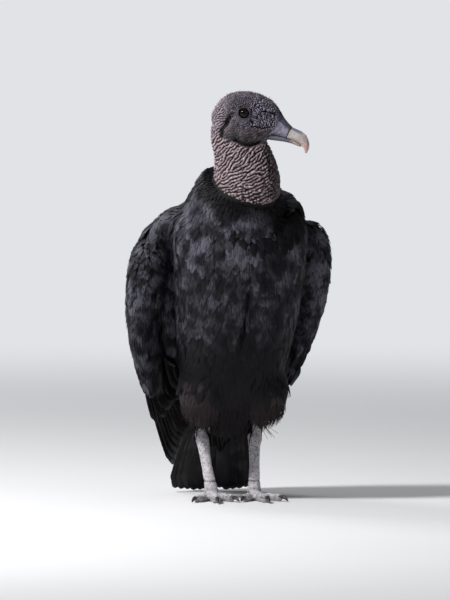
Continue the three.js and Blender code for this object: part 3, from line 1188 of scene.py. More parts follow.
SKIN_TINTS = {
    "neck": (0.425, 0.328, 0.350),
    "lores": (0.152, 0.140, 0.184),
    "cere": (0.215, 0.205, 0.275),
    "cheek": (0.088, 0.070, 0.078),
    "nape": (0.32, 0.265, 0.300),
    "crown": (0.106, 0.089, 0.114),
}
BILL_RIDGE_TINT = (0.045, 0.050, 0.080)
CERE_RIM_TINT = (0.34, 0.36, 0.42)


@dataclass
class Face:
    """The folds, cells, lids and colours of the bare head, neck and cere."""

    axes: HeadAxes
    eye_out: float = 0.0153
    opening: tuple[float, float] = (0.0046, 0.0034)
    lid: float = 0.0012
    brow_line: Line = ((-0.004, 0.0175), (0.0015, 0.0188), (0.0085, 0.0165), (0.0115, 0.012))
    jaw_edge: Line = ((-0.030, -0.016), (-0.022, -0.021), (-0.006, -0.0255), (0.004, -0.0305),
                      (0.0125, -0.0325), (0.021, -0.0300), (0.030, -0.0265), (0.040, -0.0290))
    jaw_back: Line = ((-0.021, -0.008), (-0.0205, -0.02))
    gape_line: Line = ((0.0320, -0.0205), (0.0335, -0.0250))
    cere_rim: Line = ((0.0575, -0.0105), (0.0560, -0.0160), (0.0540, -0.0205))
    culmen_line: Line = ((0.037, 0.0110), (0.046, 0.0016), (0.055, -0.0075), (0.064, -0.0122))

    def relief(self, places: Array, normals: Array, feathered: Array) -> tuple[Array, Array, Array]:
        """Works out the bare skin's folds and colours.

        Args:
            places: every vertex of the skin.
            normals: their normals.
            feathered: how feathered each is.

        Returns:
            The height, the painted shade of the crease and the colour at each vertex.
        """
        height = np.zeros(len(places))
        crease = np.zeros(len(places))
        tint = np.full((len(places), 3), 0.2)
        neck_low = centre_of("neck")[2] - 0.06
        bare = np.flatnonzero((feathered < 0.8) & (places[:, 2] > neck_low))
        skin = BareSkin(self, places[bare], normals[bare])
        height[bare] = skin.heights()
        crease[bare] = skin.creases()
        tint[bare] = skin.tints()
        return height, crease, tint

    def shares(self, places: Array) -> dict[str, Array]:
        """How much each vertex belongs to each part of the head and neck.

        Args:
            places: the bare vertices.

        Returns:
            A share for each vertex, by the part's name.
        """
        ahead, up, out = self.axes.split(places)
        sideways = ease(np.abs(out), 0.004, 0.011)
        jaw = np.interp(ahead, *zip(*self.jaw_edge))
        neck = ease(up - jaw, 0.001, -0.004)
        cere = ease(ahead - 0.55 * up + 0.0015 * wander(places, 0.005, 46), 0.040, 0.052) * (1.0 - neck)
        start = 0.0115 + 0.0012 * wander(places, 0.008, 45)
        lores = ease(ahead - start, -0.002, 0.002) * ease(ahead, 0.052, 0.038)
        lores *= within(up, -0.011, 0.028, 0.004)
        lores *= ease(up + 0.9 * (ahead - 0.036), 0.032, 0.014)
        below = within(ahead, -0.006, 0.014, 0.003) * within(up, -0.011, 0.001, 0.003) * sideways
        lores = np.maximum(lores, 0.6 * below) * (1.0 - neck) * (1.0 - cere)
        cheek = within(ahead, -0.020, 0.046, 0.004) * within(up, -0.038, -0.008, 0.003) * sideways
        cheek *= (1.0 - neck) * (1.0 - cere) * (1.0 - lores)
        nape = ease(ahead + 0.25 * up, -0.012, -0.021) * (1.0 - neck) * (1.0 - cheek)
        crown = np.clip(1.0 - neck - lores - cere - cheek - nape, 0.0, 1.0)
        return {"neck": neck, "lores": lores, "cere": cere, "cheek": cheek, "nape": nape, "crown": crown}

    def lie(self, places: Array, normals: Array) -> Array:
        """The direction in which the neck's folds run, rising from the nape towards the throat.

        Args:
            places: the bare vertices.
            normals: their normals.

        Returns:
            A unit direction for each.
        """
        rise = 0.72 - 0.66 * ease(self.drop(places), -0.008, 0.030)
        lie = tangent(self.axes.forward + rise[:, None] * UP, normals)
        back = tangent(np.cross(UP, normals), normals)
        turn = ease(normals @ self.axes.forward, -0.75, -0.97)[:, None]
        sense = np.sign((lie * back).sum(1, keepdims=True))
        lie = unit(lie * (1.0 - turn) + sense * back * turn)
        swing = 0.20 * wander(places, 0.022, 41)[:, None]
        return unit(lie * np.cos(swing) + np.cross(normals, lie) * np.sin(swing))

    def round_eye(self, ahead: Array, up: Array) -> tuple[Array, Array]:
        """Each point's distance from the eye seen from the side, and how far above it, from -1 to 1."""
        a, b = ahead - EYE_AHEAD, up - EYE_ABOVE
        ring = np.hypot(a, b)
        return ring, b / np.maximum(ring, 1e-9)

    def drop(self, places: Array) -> Array:
        """How far below the middle of the neck each point is."""
        return centre_of("neck")[2] - places[:, 2]

    def culmen(self, flat: Array) -> Array:
        """How far below the ridge of the bill each point is."""
        return np.interp(flat[:, 0], *zip(*self.culmen_line)) - flat[:, 1]

    def round_neck(self, places: Array) -> Array:
        """The bearing of each point round the neck, in degrees from the bird's front towards its left."""
        offset = places - centre_of("neck")
        return np.degrees(np.arctan2(offset[:, 0], -offset[:, 1]))

    def throat_fold(self, places: Array) -> tuple[Array, Array]:
        """The long fold down the throat, and the painted shade on the neck past it.

        Args:
            places: the bare vertices.

        Returns:
            How much of the fold and of the painted shade is at each.
        """
        round_by = self.round_neck(places)
        drop = self.drop(places)
        line = 41.0 + 9.0 * ease(drop, -0.030, 0.025) + 3.0 * np.sin(drop * 260.0)
        on = bell((round_by - line) * 0.00062, 0.0014) * within(drop, -0.031, 0.024, 0.006)
        # Painted shade: the side of the neck past the fold is painted darker, as it lies in shadow.
        far_side_painted_shade = ease(round_by - line, 0.0, 3.0) * ease(round_by, 112.0, 92.0)
        far_side_painted_shade *= within(drop, -0.04, 0.05, 0.008)
        return on, far_side_painted_shade

    def sockets(self, places: Array) -> Array:
        """Opens the skin over each eye and wraps its lids round the ball.

        Args:
            places: the skin's vertices.

        Returns:
            The vertices' new places.
        """
        places = places.copy()
        for side in Side:
            outward = side.sign * self.axes.left
            ball = self.axes.middle + EYE_AHEAD * self.axes.forward + EYE_ABOVE * UP
            ball = ball + self.eye_out * outward
            offset = places - ball
            near = np.flatnonzero((norm(offset, axis=1) < 0.016) & (offset @ outward > -0.001))
            offset = offset[near]
            length = norm(offset, axis=1)
            way = offset / length[:, None]
            a = way @ self.axes.forward * EYE_RADIUS
            b = way @ UP * EYE_RADIUS
            slant = b + 0.16 * a
            tall = np.where(slant > 0, self.opening[1] * 0.9, self.opening[1])
            ring = np.sqrt((a / self.opening[0]) ** 2 + (slant / tall) ** 2)
            ring = np.where(way @ outward < 0.0, 3.0, ring)
            behind = EYE_RADIUS - 0.0016
            lid = EYE_RADIUS + self.lid + 0.0006 * ease(slant, 0.0, 0.003) * ease(ring, 1.7, 1.1)
            target = np.where(ring < 0.96, behind, np.where(ring < 1.08, behind + ease(ring, 0.96, 1.08)
                                                            * (lid - EYE_RADIUS + 0.0016), lid))
            hold = ease(ring, 1.9, 1.15) * (way @ outward > 0.0)
            places[near] = ball + way * (length * (1.0 - hold) + target * hold)[:, None]
        return places


@dataclass
class BareSkin:
    """The bare vertices of the head and neck, with the patterns that cover them."""

    face: Face
    places: Array
    normals: Array

    def __post_init__(self) -> None:
        """Lays every pattern on the vertices."""
        face, places, normals = self.face, self.places, self.normals
        self.ahead, self.up, out = face.axes.split(places)
        self.flat = np.stack([self.ahead, self.up], axis=1)
        self.sideways = ease(np.abs(out), 0.004, 0.011)
        self.shares = face.shares(places)
        lie = face.lie(places, normals)
        across = unit(np.cross(normals, lie))
        along_bill = tangent(face.axes.forward - 0.5 * UP, normals)
        self.deep = NECK_FOLDS.depth(places, across)
        self.split = NECK_SPLITS.depth(places, lie)
        self.thin = NAPE_FOLDS.depth(places, across)
        self.bill = CERE_LINES.depth(places, np.cross(normals, along_bill))
        self.sway = wander(places, 0.009, 42)
        warped = np.stack([1.25 * self.ahead + 0.0011 * self.sway,
                           0.8 * self.up + 0.0011 * wander(places, 0.008, 43), out], axis=1)
        self.cells, self.cell_grey = pebbles(warped, 0.0036, 21)
        self.small, self.small_grey = pebbles(places + 0.0006 * self.sway[:, None], 0.0026, 22)
        drop = face.drop(places)
        front = np.maximum(ease(face.round_neck(places), 10.0, 50.0), ease(drop, 0.006, 0.030))
        bead_dark = ease(self.split, 0.72, 0.95) * (0.45 + 0.50 * front) * ease(self.sway, -1.6, 0.0)
        self.neck_dark = np.maximum(ease(self.deep, 0.54 + 0.08 * self.sway, 0.90), bead_dark)
        self.cell_dark = 1.0 - ease(self.cells, 0.06, 0.42 + 0.12 * self.sway)
        self.thin_dark = ease(self.thin, 0.60, 0.93)
        self.split_dark = ease(self.split, 0.8, 0.98)
        self.small_dark = 1.0 - ease(self.small, 0.02, 0.34 + 0.10 * self.sway)
        self.lines = self.sideways * np.maximum.reduce([
            crease.strength * groove(self.flat, crease.line, crease.width)
            for crease in (EAR, JAW, BEFORE_EYE, CHEEK, FOREHEAD)])
        self.ring, turn = face.round_eye(self.ahead, self.up)
        self.lid_folds = ease(np.abs(np.sin(self.ring / 0.00062 + 0.5 * self.sway)), 0.55, 0.95)
        self.halo = within(self.ring, 0.0078, 0.0125, 0.0012) * ease(turn, 0.9, -0.6) * self.sideways
        self.calm = ease(self.ring, 0.0068, 0.0088)
        self.throat, self.throat_painted_shade = face.throat_fold(places)
        self.rim = groove(self.flat, face.cere_rim, 0.0011) * self.sideways

    def heights(self) -> Array:
        """How far the skin is raised at each vertex.

        Returns:
            A height in metres.
        """
        face, flat = self.face, self.flat
        beads = (1.0 - self.deep ** 2) * (1.0 - 0.45 * self.split ** 4)
        thin = 0.5 * (1.0 - self.thin ** 2)
        raised = {
            "neck": 0.00135 * (0.5 * beads - self.neck_dark),
            "lores": 0.0016 * (0.6 * ease(self.cells, 0.0, 0.9) - self.cell_dark),
            "nape": 0.00105 * (thin - np.maximum(self.thin_dark, 0.6 * self.split_dark)),
            "crown": 0.0011 * (0.6 * ease(self.small, 0.0, 0.9) - self.small_dark),
            "cheek": 0.0004 * (thin - self.thin_dark) - 0.0002 * self.small_dark,
            "cere": 0.00040 * (0.5 - ease(self.bill, 0.5, 0.95)),
        }
        height = sum(self.shares[name] * values for name, values in raised.items())
        height *= (1.0 - 0.8 * self.halo) * self.calm
        height += -0.0040 * self.lines - 0.003 * self.throat - 0.0004 * self.halo * self.lid_folds
        height += 0.0014 * groove(flat, face.brow_line, 0.0014) * self.sideways
        height += 0.0016 * groove(flat, face.jaw_back, 0.004) * self.sideways
        height += 0.0024 * groove(flat, face.gape_line, 0.0034)
        return height + 0.0006 * self.rim

    def creases(self) -> Array:
        """How much painted shade darkens the crease at each vertex.

        Returns:
            A share from 0 to 1.
        """
        darkness = {
            "neck": self.neck_dark,
            "lores": 0.95 * self.cell_dark,
            "nape": np.maximum(self.thin_dark, 0.5 * self.split_dark),
            "crown": 0.92 * self.small_dark,
            "cheek": 0.45 * self.thin_dark + 0.35 * self.small_dark,
            "cere": 0.28 * ease(self.bill, 0.7, 0.97),
        }
        crease = sum(self.shares[name] * values for name, values in darkness.items())
        crease = crease * (1.0 - 0.7 * self.halo) + 0.55 * self.halo * self.lid_folds
        crease *= np.where(self.sideways > 0.5, self.calm, 1.0)
        # Painted shade in the grooves of the ear, the jaw, the cheek, the forehead and the throat's fold.
        return np.maximum.reduce([crease, ease(self.lines, 0.25, 0.8), ease(self.throat, 0.3, 0.8)])

    def tints(self) -> Array:
        """The skin's colour at each vertex, with painted light and shade on the folds, under the jaw and on
        the throat's far side.

        Returns:
            A colour for each.
        """
        neck, nape, cheek = self.shares["neck"], self.shares["nape"], self.shares["cheek"]
        tint = sum(share[:, None] * np.array(SKIN_TINTS[name]) for name, share in self.shares.items())
        tint = tint / np.maximum(sum(self.shares.values()), 1e-6)[:, None]
        # Painted light and shade: the tops of the folds are painted lighter and the skin between them
        # darker.
        crest = neck * (1.0 - self.deep ** 2) + nape * (1.0 - self.thin ** 2) + (1.0 - neck - nape)
        # Painted shade: the skin under the cheek and along the jaw is painted darker.
        jaw_painted_shade = within(self.ahead, -0.020, 0.020, 0.006)
        jaw_painted_shade *= ease(self.up + 0.25 * self.ahead, -0.012, -0.027)
        shade = 0.72 + 0.56 * np.where(self.shares["lores"] > 0.4, self.cell_grey, self.small_grey)
        shade *= 0.62 + 0.46 * crest
        shade *= 1.0 - 0.85 * jaw_painted_shade * self.sideways * (1.0 - neck)
        # Painted shade on the far, shadowed side of the throat.
        shade *= 1.0 - 0.62 * self.throat_painted_shade
        shade *= 1.0 - 0.70 * ease(self.ring, 0.0085, 0.0062) * self.sideways
        shade *= 1.0 - 0.35 * ease(self.ring, 0.0150, 0.0080) * self.sideways
        ridge = 0.8 * ease(self.face.culmen(self.flat), 0.0022, 0.0004) * ease(self.ahead, 0.040, 0.046)
        tint = blended(tint * shade[:, None], BILL_RIDGE_TINT, ridge)
        tint *= (1.0 + 0.30 * cheek * wander(self.places, 0.010, 44))[:, None]
        return blended(tint, CERE_RIM_TINT, self.rim)


@dataclass
class Scutes:
    """The scaly skin of the shanks and toes."""

    pale: Colour = (0.73, 0.71, 0.74)
    dusky: Colour = (0.30, 0.27, 0.32)
    ring: float = 0.0042
    ankle: float = 0.0235

    def relief(self, places: Array, normals: Array, leg: Array) -> tuple[Array, Array, Array]:
        """Works out the legs' scales and colours.

        Args:
            places: every vertex of the skin.
            normals: their normals.
            leg: what share of each is leg.

        Returns:
            The height, the darkness of the crease, which is painted shade in the rings and the ankle fold
            and the scales' own dark borders, and the colour at each vertex.
        """
        height = np.zeros(len(places))
        crease = np.zeros(len(places))
        tint = np.full((len(places), 3), 0.6)
        held = np.flatnonzero(leg > 0.05)
        part = places[held]
        border, grey = pebbles(part, 0.0030, 31)
        gap = 1.0 - ease(border, 0.03, 0.30)
        low = ease(part[:, 2], 0.024, 0.012)
        top = ease(normals[held][:, 2], -0.2, 0.35)
        rings = np.zeros(len(held))
        for side in Side:
            foot = np.array([centre_of(f"toe_middle_{side.value}")[0] - side.sign * 0.0022,
                             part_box(f"toe_hind_{side.value}")[0][1] + 0.004])
            away = norm(part[:, :2] - foot, axis=1)
            own = (part[:, 0] - centre_of("tail")[0]) * side.sign > 0
            wave = np.abs(np.sin(np.pi * away / self.ring))
            rings = np.where(own, ease(wave, 0.60, 0.10) * ease(away, 0.011, 0.016) * top * low, rings)
        fold = bell(part[:, 2] - self.ankle, 0.0011)
        scales = 0.0003 * (ease(border, 0.0, 0.8) - gap) * (1 - 0.5 * low)
        height[held] = scales - 0.0008 * rings - 0.0009 * fold
        # Painted shade in the rings and the ankle fold; the scales' borders are their own dark colour.
        crease[held] = np.clip(0.10 * gap + 0.55 * rings + 0.55 * fold, 0.0, 1.0)
        tone = np.array(self.pale) * (0.86 + 0.20 * grey)[:, None]
        tone = blended(tone, self.dusky, ease(part[:, 2], 0.080, 0.103))
        # Painted shade: low on the feet, the sides turned away from above are painted darker.
        tint[held] = tone * (1 - 0.35 * low * ease(normals[held][:, 2], 0.9, 0.2))[:, None]
        return height, crease, tint


# ---- the bill, eyes and claws
def refined(node: str, name: str, voxel: float, rounds: int) -> Piece:
    """A fine, smooth copy of one of the frame's nodes.

    Args:
        node: the node's name.
        name: the new object's name.
        voxel: the size of the new mesh's cells.
        rounds: how many times it is smoothed.

    Returns:
        The object.
    """
    piece = copied([node], name)
    apply(piece, "REMESH", mode="VOXEL", voxel_size=voxel)
    places = smoothed(coords(piece), edges_of(piece), rounds)
    move_to(piece, places)
    smooth_shaded(piece)
    return piece


@dataclass
class Bill:
    """The horn of the upper bill and the lower bill."""

    axes: HeadAxes
    voxel: float = 0.00055

    def build(self) -> None:
        """Makes both pieces."""
        self.upper()
        self.lower()

    def upper(self) -> None:
        """The pale hooked horn, dark along its ridge and rosy towards the tip."""
        piece = refined("bill_upper", "bill_horn", self.voxel, 22)
        ahead, up, out = self.axes.split(coords(piece))
        tip = ease(up, -0.022, -0.040) * 0.9 + 0.1 * ease(ahead, 0.07, 0.08)
        top = np.interp(ahead, (0.055, 0.064, 0.072, 0.078), (-0.0075, -0.0115, -0.0155, -0.0235))
        ridge = ease(top - up + 0.3 * np.abs(out), 0.0044, 0.0018) * ease(ahead, 0.077, 0.070)
        report(piece, HORN.material(), "bill_horn", ["bill_upper"], tip=tip, ridge=ridge * 0.9)

    def lower(self) -> None:
        """The lower bill, dark blue-grey behind and mottled brown in front."""
        piece = refined("bill_lower", "lower_bill", self.voxel, 16)
        ahead, _, _ = self.axes.split(coords(piece))
        report(piece, LOWER_HORN.material(), "lower_bill", ["bill_lower"],
               tip=ease(ahead, 0.057, 0.064), ridge=ease(ahead, 0.040, 0.034) * 0.35)


@dataclass
class Eyes:
    """The two eyeballs."""

    axes: HeadAxes

    def build(self) -> None:
        """Makes an eyeball with a slightly raised cornea on each side."""
        material = EyeFinish().material()
        for side in Side:
            deselect()
            middle = centre_of(f"eye_{side.value}")
            outward = side.sign * self.axes.left
            bpy.ops.mesh.primitive_uv_sphere_add(segments=48, ring_count=32, radius=EYE_RADIUS)
            piece = bpy.context.object
            piece.name = piece.data.name = f"eyeball_{side.value}"
            face = Vector((0, 0, 1)).rotation_difference(Vector(outward)).to_matrix().to_4x4()
            piece.data.transform(Matrix.Translation(middle) @ face)
            places = coords(piece)
            bend = unit(places - middle) @ outward
            bulge = ease(bend, 0.72, 0.96) * 0.0005
            move_to(piece, places + outward * bulge[:, None])
            smooth_shaded(piece)
            report(piece, material, "eye", [f"eye_{side.value}"],
                   iris=np.sqrt(np.clip(1.0 - np.maximum(bend, 0.0) ** 2, 0.0, 1.0)))


@dataclass
class Claws:
    """The eight claws."""

    voxel: float = 0.0005

    def build(self) -> None:
        """Makes each claw from its node."""
        material = CLAW.material()
        for side in Side:
            for toe in TOES:
                node = f"claw_{toe}_{side.value}"
                piece = refined(node, f"talon_{toe}_{side.value}", self.voxel, 12)
                places = grounded(coords(piece))
                move_to(piece, places)
                far = norm(places - centre_of(f"toe_{toe}_{side.value}"), axis=1)
                report(piece, material, "claw", [node], tip=ease(far, far.min(), far.max()),
                       ridge=ease(far, far.min() + 0.004, far.min()))


# ---- feathers
@dataclass(frozen=True)
class VaneCut:
    """How one shape is drawn: its grid, its outline from root to tip, and how its tip ends."""

    columns: int
    rows: int
    outline: tuple[float, ...]
    whole: float
    ragged: float
    round: float
    shaft: float = 0.0


class Vane(Enum):
    """The shapes that a feather may have."""

    CONTOUR = VaneCut(8, 4, (0.30, 0.72, 0.95, 1.0, 0.72), 0.55, 0.02, 0.20)
    COVERT = VaneCut(8, 4, (0.30, 0.75, 0.98, 1.0, 0.70), 0.55, 0.015, 0.20, 0.2)
    PLUME = VaneCut(8, 4, (0.35, 0.85, 1.0, 1.0, 0.66), 0.55, 0.035, 0.17)
    QUILL = VaneCut(8, 24, (0.2, 0.62, 0.8, 0.9, 0.96, 1.0, 1.0, 0.94, 0.62), 0.88, 0.004, 0.06, 0.30)
    STRAND = VaneCut(2, 4, (0.5, 1.0, 0.9, 0.6, 0.12), 0.9, 0.0, 0.0)
    BRISTLE = VaneCut(2, 2, (1.0, 0.6, 0.15), 0.9, 0.0, 0.0)


@dataclass(frozen=True)
class Shape:
    """One feather drawn flat: x runs from root to tip and y across, each 1 long, and z is thickness."""

    places: Array
    faces: Array

    @classmethod
    def modelled(cls, vane: Vane) -> "Shape":
        """Models a feather once, ready to be laid out many times.

        Args:
            vane: which shape.

        Returns:
            The shape.
        """
        deselect()
        cut = vane.value
        bpy.ops.mesh.primitive_grid_add(x_subdivisions=cut.rows, y_subdivisions=cut.columns, size=1.0)
        piece = bpy.context.object
        apply(piece, "SOLIDIFY", thickness=0.7, offset=-1.0)
        places = coords(piece)
        x = places[:, 0] + 0.5
        y = places[:, 1]
        column = np.rint((y + 0.5) * cut.columns).astype(int)
        edge = np.abs(y) * 2
        stations = np.linspace(0.0, 1.0, len(cut.outline))
        places[:, 1] = y * np.interp(x, stations, cut.outline)
        ragged = np.array((0.1, 0.72, 0.0, 1.0, 0.2, 0.85, 0.05, 0.6, 0.3))[column % 9]
        places[:, 0] = x - ease(x, cut.whole, 1.0) * (cut.ragged * ragged + cut.round * edge ** 2)
        places[:, 2] += 0.5 * (1.0 - edge ** 2) + cut.shaft * (edge < 0.1)
        faces = pulled(piece.data.loops, "vertex_index", 1, np.int32).reshape(-1, 4)
        bpy.data.objects.remove(piece)
        return cls(places, faces)


@dataclass
class Coat:
    """Many feathers of one kind, rooted in the skin and laid along it."""

    name: str
    vane: Vane
    pitch: float
    length: float
    width: float
    thick: float
    seed: int
    lift: float = 1.0
    hang: float = 0.0
    way: Triple = (0.0, 0.0, -1.0)
    # How much painted sheen, a painted highlight, the coat's feathers get.
    painted_sheen: float = 1.0


@dataclass
class Plumage:
    """The small feathers over the body, thighs and wings."""

    axes: HeadAxes
    skin: Skin
    steps: int = 5
    samples: int = 90000
    seed: int = 5

    def build(self) -> None:
        """Roots and lays every coat."""
        self.prepare()
        for coat in COATS:
            self.lay(coat)
        self.bristles()
        bpy.data.objects.remove(self.bed)

    def prepare(self) -> None:
        """Unwraps the bed and samples it for roots."""
        self.bed = self.skin.bed
        link(self.bed)
        self.unwrap()
        self.places = coords(self.bed)
        self.triangles = triangles_of(self.bed)
        self.tree = BVHTree.FromPolygons(self.places.tolist(), self.triangles.tolist())
        self.normals = normals_of(self.bed)
        corners = self.places[self.triangles]
        cross = np.cross(corners[:, 1] - corners[:, 0], corners[:, 2] - corners[:, 0])
        area = norm(cross, axis=1) * (self.skin.bed_feathered[self.triangles].mean(1) > 0.45)
        rng = default_rng(self.seed)
        self.face = rng.choice(len(area), self.samples, p=area / area.sum())
        weights = rng.dirichlet((1.0, 1.0, 1.0), self.samples)[:, :, None]
        self.roots = (corners[self.face] * weights).sum(1)
        self.root_normals = unit((self.normals[self.triangles[self.face]] * weights).sum(1))
        self.root_uv = (self.corner_uv[self.face] * weights).sum(1)
        self.by_collar = distances(node_tree(["neck"]), self.roots)
        self.sort_roots()
        # Painted shadow: the painted sheen is taken away next to the wings, where their shadow falls on the
        # flanks, in the chest's furrow and under the ruff's roll by the collar.
        by_wing = distances(node_tree([f"wing_arm_{side.value}" for side in Side]), self.roots)
        on_wing = np.char.startswith(self.node, "wing")
        self.out_of_painted_shadow = np.where(on_wing, 1.0, ease(by_wing, 0.003, 0.024))
        crease = self.skin.furrows(self.roots, self.by_collar) * (self.roots[:, 1] < self.skin.ridge_line)
        self.out_of_painted_shadow *= 1.0 - 0.9 * ease(crease, 0.001, 0.004)
        self.out_of_painted_shadow *= 0.25 + 0.75 * ease(self.by_collar, 0.007, 0.019)
        self.zones = coat_zones(self)

    def unwrap(self) -> None:
        """Lays the bed's shape out flat, to give each root its place on the coats' own map."""
        edit_all(self.bed)
        bpy.ops.uv.smart_project(angle_limit=math.radians(66), island_margin=0.002)
        bpy.ops.object.mode_set(mode="OBJECT")
        mesh = self.bed.data
        mesh.calc_loop_triangles()
        loops = pulled(mesh.loop_triangles, "loops", 3, np.int32)
        self.corner_uv = pulled(mesh.uv_layers.active.data, "uv", 2)[loops]

    def sort_roots(self) -> None:
        """Finds each root's node, and drops the roots that a wing covers."""
        nodes = [node for region in FEATHERED for node in region.nodes()]
        gaps = np.array([distances(node_tree([node]), self.roots) for node in nodes])
        self.node = np.array(nodes)[np.argmin(gaps, axis=0)]
        self.flow = unit(self.lie(self.roots, self.root_normals, self.node))
        self.covered = np.zeros(len(self.roots), bool)
        parts = ("arm", "shoulder", "secondaries", "primaries")
        outer = node_tree([f"wing_{part}_{side.value}" for part in parts for side in Side])
        for index in np.flatnonzero((self.node == "trunk") | np.char.startswith(self.node, "thigh")):
            start = self.roots[index] + self.root_normals[index] * 0.003
            hit = outer.ray_cast(Vector(start), Vector(self.root_normals[index]), 0.014)
            self.covered[index] = hit[0] is not None

    def lie(self, places: Array, normals: Array, nodes: Array) -> Array:
        """The direction in which feathers lie.

        Args:
            places: points on the bed.
            normals: the bed's normals there.
            nodes: the node that each belongs to.

        Returns:
            A unit direction along the surface at each point.
        """
        base = over_neck(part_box("neck")[1][2] - 0.004)
        away = unit(places - base)
        near = np.exp(-norm(places - base, axis=1) / 0.11)[:, None]
        down = np.array([0.0, 0.34, -0.94])
        way = near * away + (1.0 - near) * down
        for side in Side:
            ankle = centre_of(f"shank_{side.value}")
            own = (nodes == f"thigh_{side.value}")[:, None]
            way = np.where(own, unit(ankle + np.array([0, 0.012, -0.02]) - places), way)
            wing = np.array([-0.06 * side.sign, 0.26, -0.96])
            own = (np.char.startswith(nodes, "wing") & np.char.endswith(nodes, side.value))[:, None]
            way = np.where(own, wing, way)
        rump = (nodes == "trunk") * ease(places[:, 1], 0.012, 0.034) * ease(places[:, 2], 0.20, 0.17)
        return tangent(blended(way, TAILWARD, rump), normals)

    def pick(self, coat: Coat) -> tuple[Array, Array]:
        """Chooses a coat's roots.

        Args:
            coat: the coat.

        Returns:
            The chosen samples, and each one's size as a share of the coat's.
        """
        zone, size = self.zones[coat.name]
        usable = np.flatnonzero(zone & ~self.covered)
        rng = default_rng(coat.seed)
        picks = scattered(self.roots[usable], coat.pitch, rng, size[usable])
        chosen = usable[picks]
        return chosen, size[chosen]

    def paths(self, chosen: Array, lengths: Array, coat: Coat) -> tuple[Array, ...]:
        """Walks each feather's middle line along the bed and lifts it towards its tip.

        Args:
            chosen: the samples that the feathers grow from.
            lengths: their lengths.
            coat: the coat.

        Returns:
            The line's points, the feather's upper side and the directions across it there, the
            surface's normals, and whether each line stays on the surface.
        """
        rng = default_rng(coat.seed + 1)
        count = len(chosen)
        points = np.empty((count, self.steps + 1, 3))
        normals = np.empty_like(points)
        points[:, 0] = self.roots[chosen]
        normals[:, 0] = self.root_normals[chosen]
        stray = rng.normal(0, 0.10, (count, 1))
        flow = self.flow[chosen]
        flow = unit(flow + stray * np.cross(normals[:, 0], flow))
        out = np.sign(points[:, 0, :1] - centre_of("tail")[0])
        sound = np.ones(count, bool)
        drop = np.array(coat.way) * np.concatenate([out, np.ones((count, 2))], axis=1) * coat.hang
        heights = np.empty((count, self.steps + 1))
        heights[:, 0] = self.skin.bed_depth[self.triangles[self.face[chosen]]].mean(1)
        for step in range(1, self.steps + 1):
            before, facing = points[:, step - 1], normals[:, step - 1]
            way = unit(tangent(flow, facing) + drop)
            ahead = before + way * (lengths / self.steps)[:, None]
            for index in range(count):
                spot, normal, face, _ = self.tree.find_nearest(ahead[index].tolist())
                keep = np.array(normal)
                if keep @ facing[index] < 0.25:
                    sound[index] = False
                    keep = facing[index]
                    spot = ahead[index]
                elif (ahead[index] - np.array(spot)) @ keep > 0 and coat.hang:
                    spot = ahead[index]
                points[index, step] = spot
                normals[index, step] = 0.45 * keep + 0.55 * facing[index]
                heights[index, step] = self.skin.bed_depth[self.triangles[face]].mean()
            normals[:, step] = unit(normals[:, step])
            flow = unit(0.7 * flow + 0.3 * way)
        share = np.linspace(0.0, 1.0, self.steps + 1)
        level = heights.max(1, keepdims=True) * 0.35 + heights * 0.65
        raised = level * coat.lift * (-0.08 + 1.08 * share ** 0.8)
        raised += rng.uniform(-0.0003, 0.0009, (count, 1)) * share
        lifted = points + normals * raised[:, :, None]
        along = unit(np.gradient(lifted, axis=1))
        across = unit(np.cross(normals, along))
        return lifted, unit(np.cross(along, across)), across, normals, sound

    def lay(self, coat: Coat) -> None:
        """Makes one coat as one mesh, browner low on the belly and most of all on the thighs.

        Args:
            coat: the coat.
        """
        chosen, size = self.pick(coat)
        rng = default_rng(coat.seed + 2)
        lengths = coat.length * size * rng.uniform(0.85, 1.12, len(chosen))
        lines, facing, across, normals, sound = self.paths(chosen, lengths, coat)
        sound |= coat.hang > 0.5
        chosen, size, lines, facing, across, normals = (
            values[sound] for values in (chosen, size, lines, facing, across, normals))
        widths = coat.width * size * rng.uniform(0.88, 1.1, len(chosen))
        piece = laid_out(coat.name, SHAPES[coat.vane], lines, facing, across, widths, coat.thick,
                         self.root_uv[chosen], normals)
        each = len(SHAPES[coat.vane].places)
        # Each feather's share of the painted sheen: least low on the body, none in the painted shadow by
        # the wings.
        least = np.where(np.char.startswith(self.node[chosen], "wing"), 0.95, 0.06)
        painted_sheen_share = coat.painted_sheen * painted_sheen(self.roots[chosen], rng, self.out_of_painted_shadow[chosen], least)
        thigh = np.char.startswith(self.node[chosen], "thigh")
        brown = 0.75 * ease(self.roots[chosen][:, 2], 0.20, 0.12) * np.where(thigh, 1.3, 0.3)
        smooth_shaded(piece)
        report(piece, FINISHES["plumage"], "plumage", [],
               shade=np.repeat(painted_sheen_share, each), brown=np.repeat(np.clip(brown, 0.0, 1.0), each))

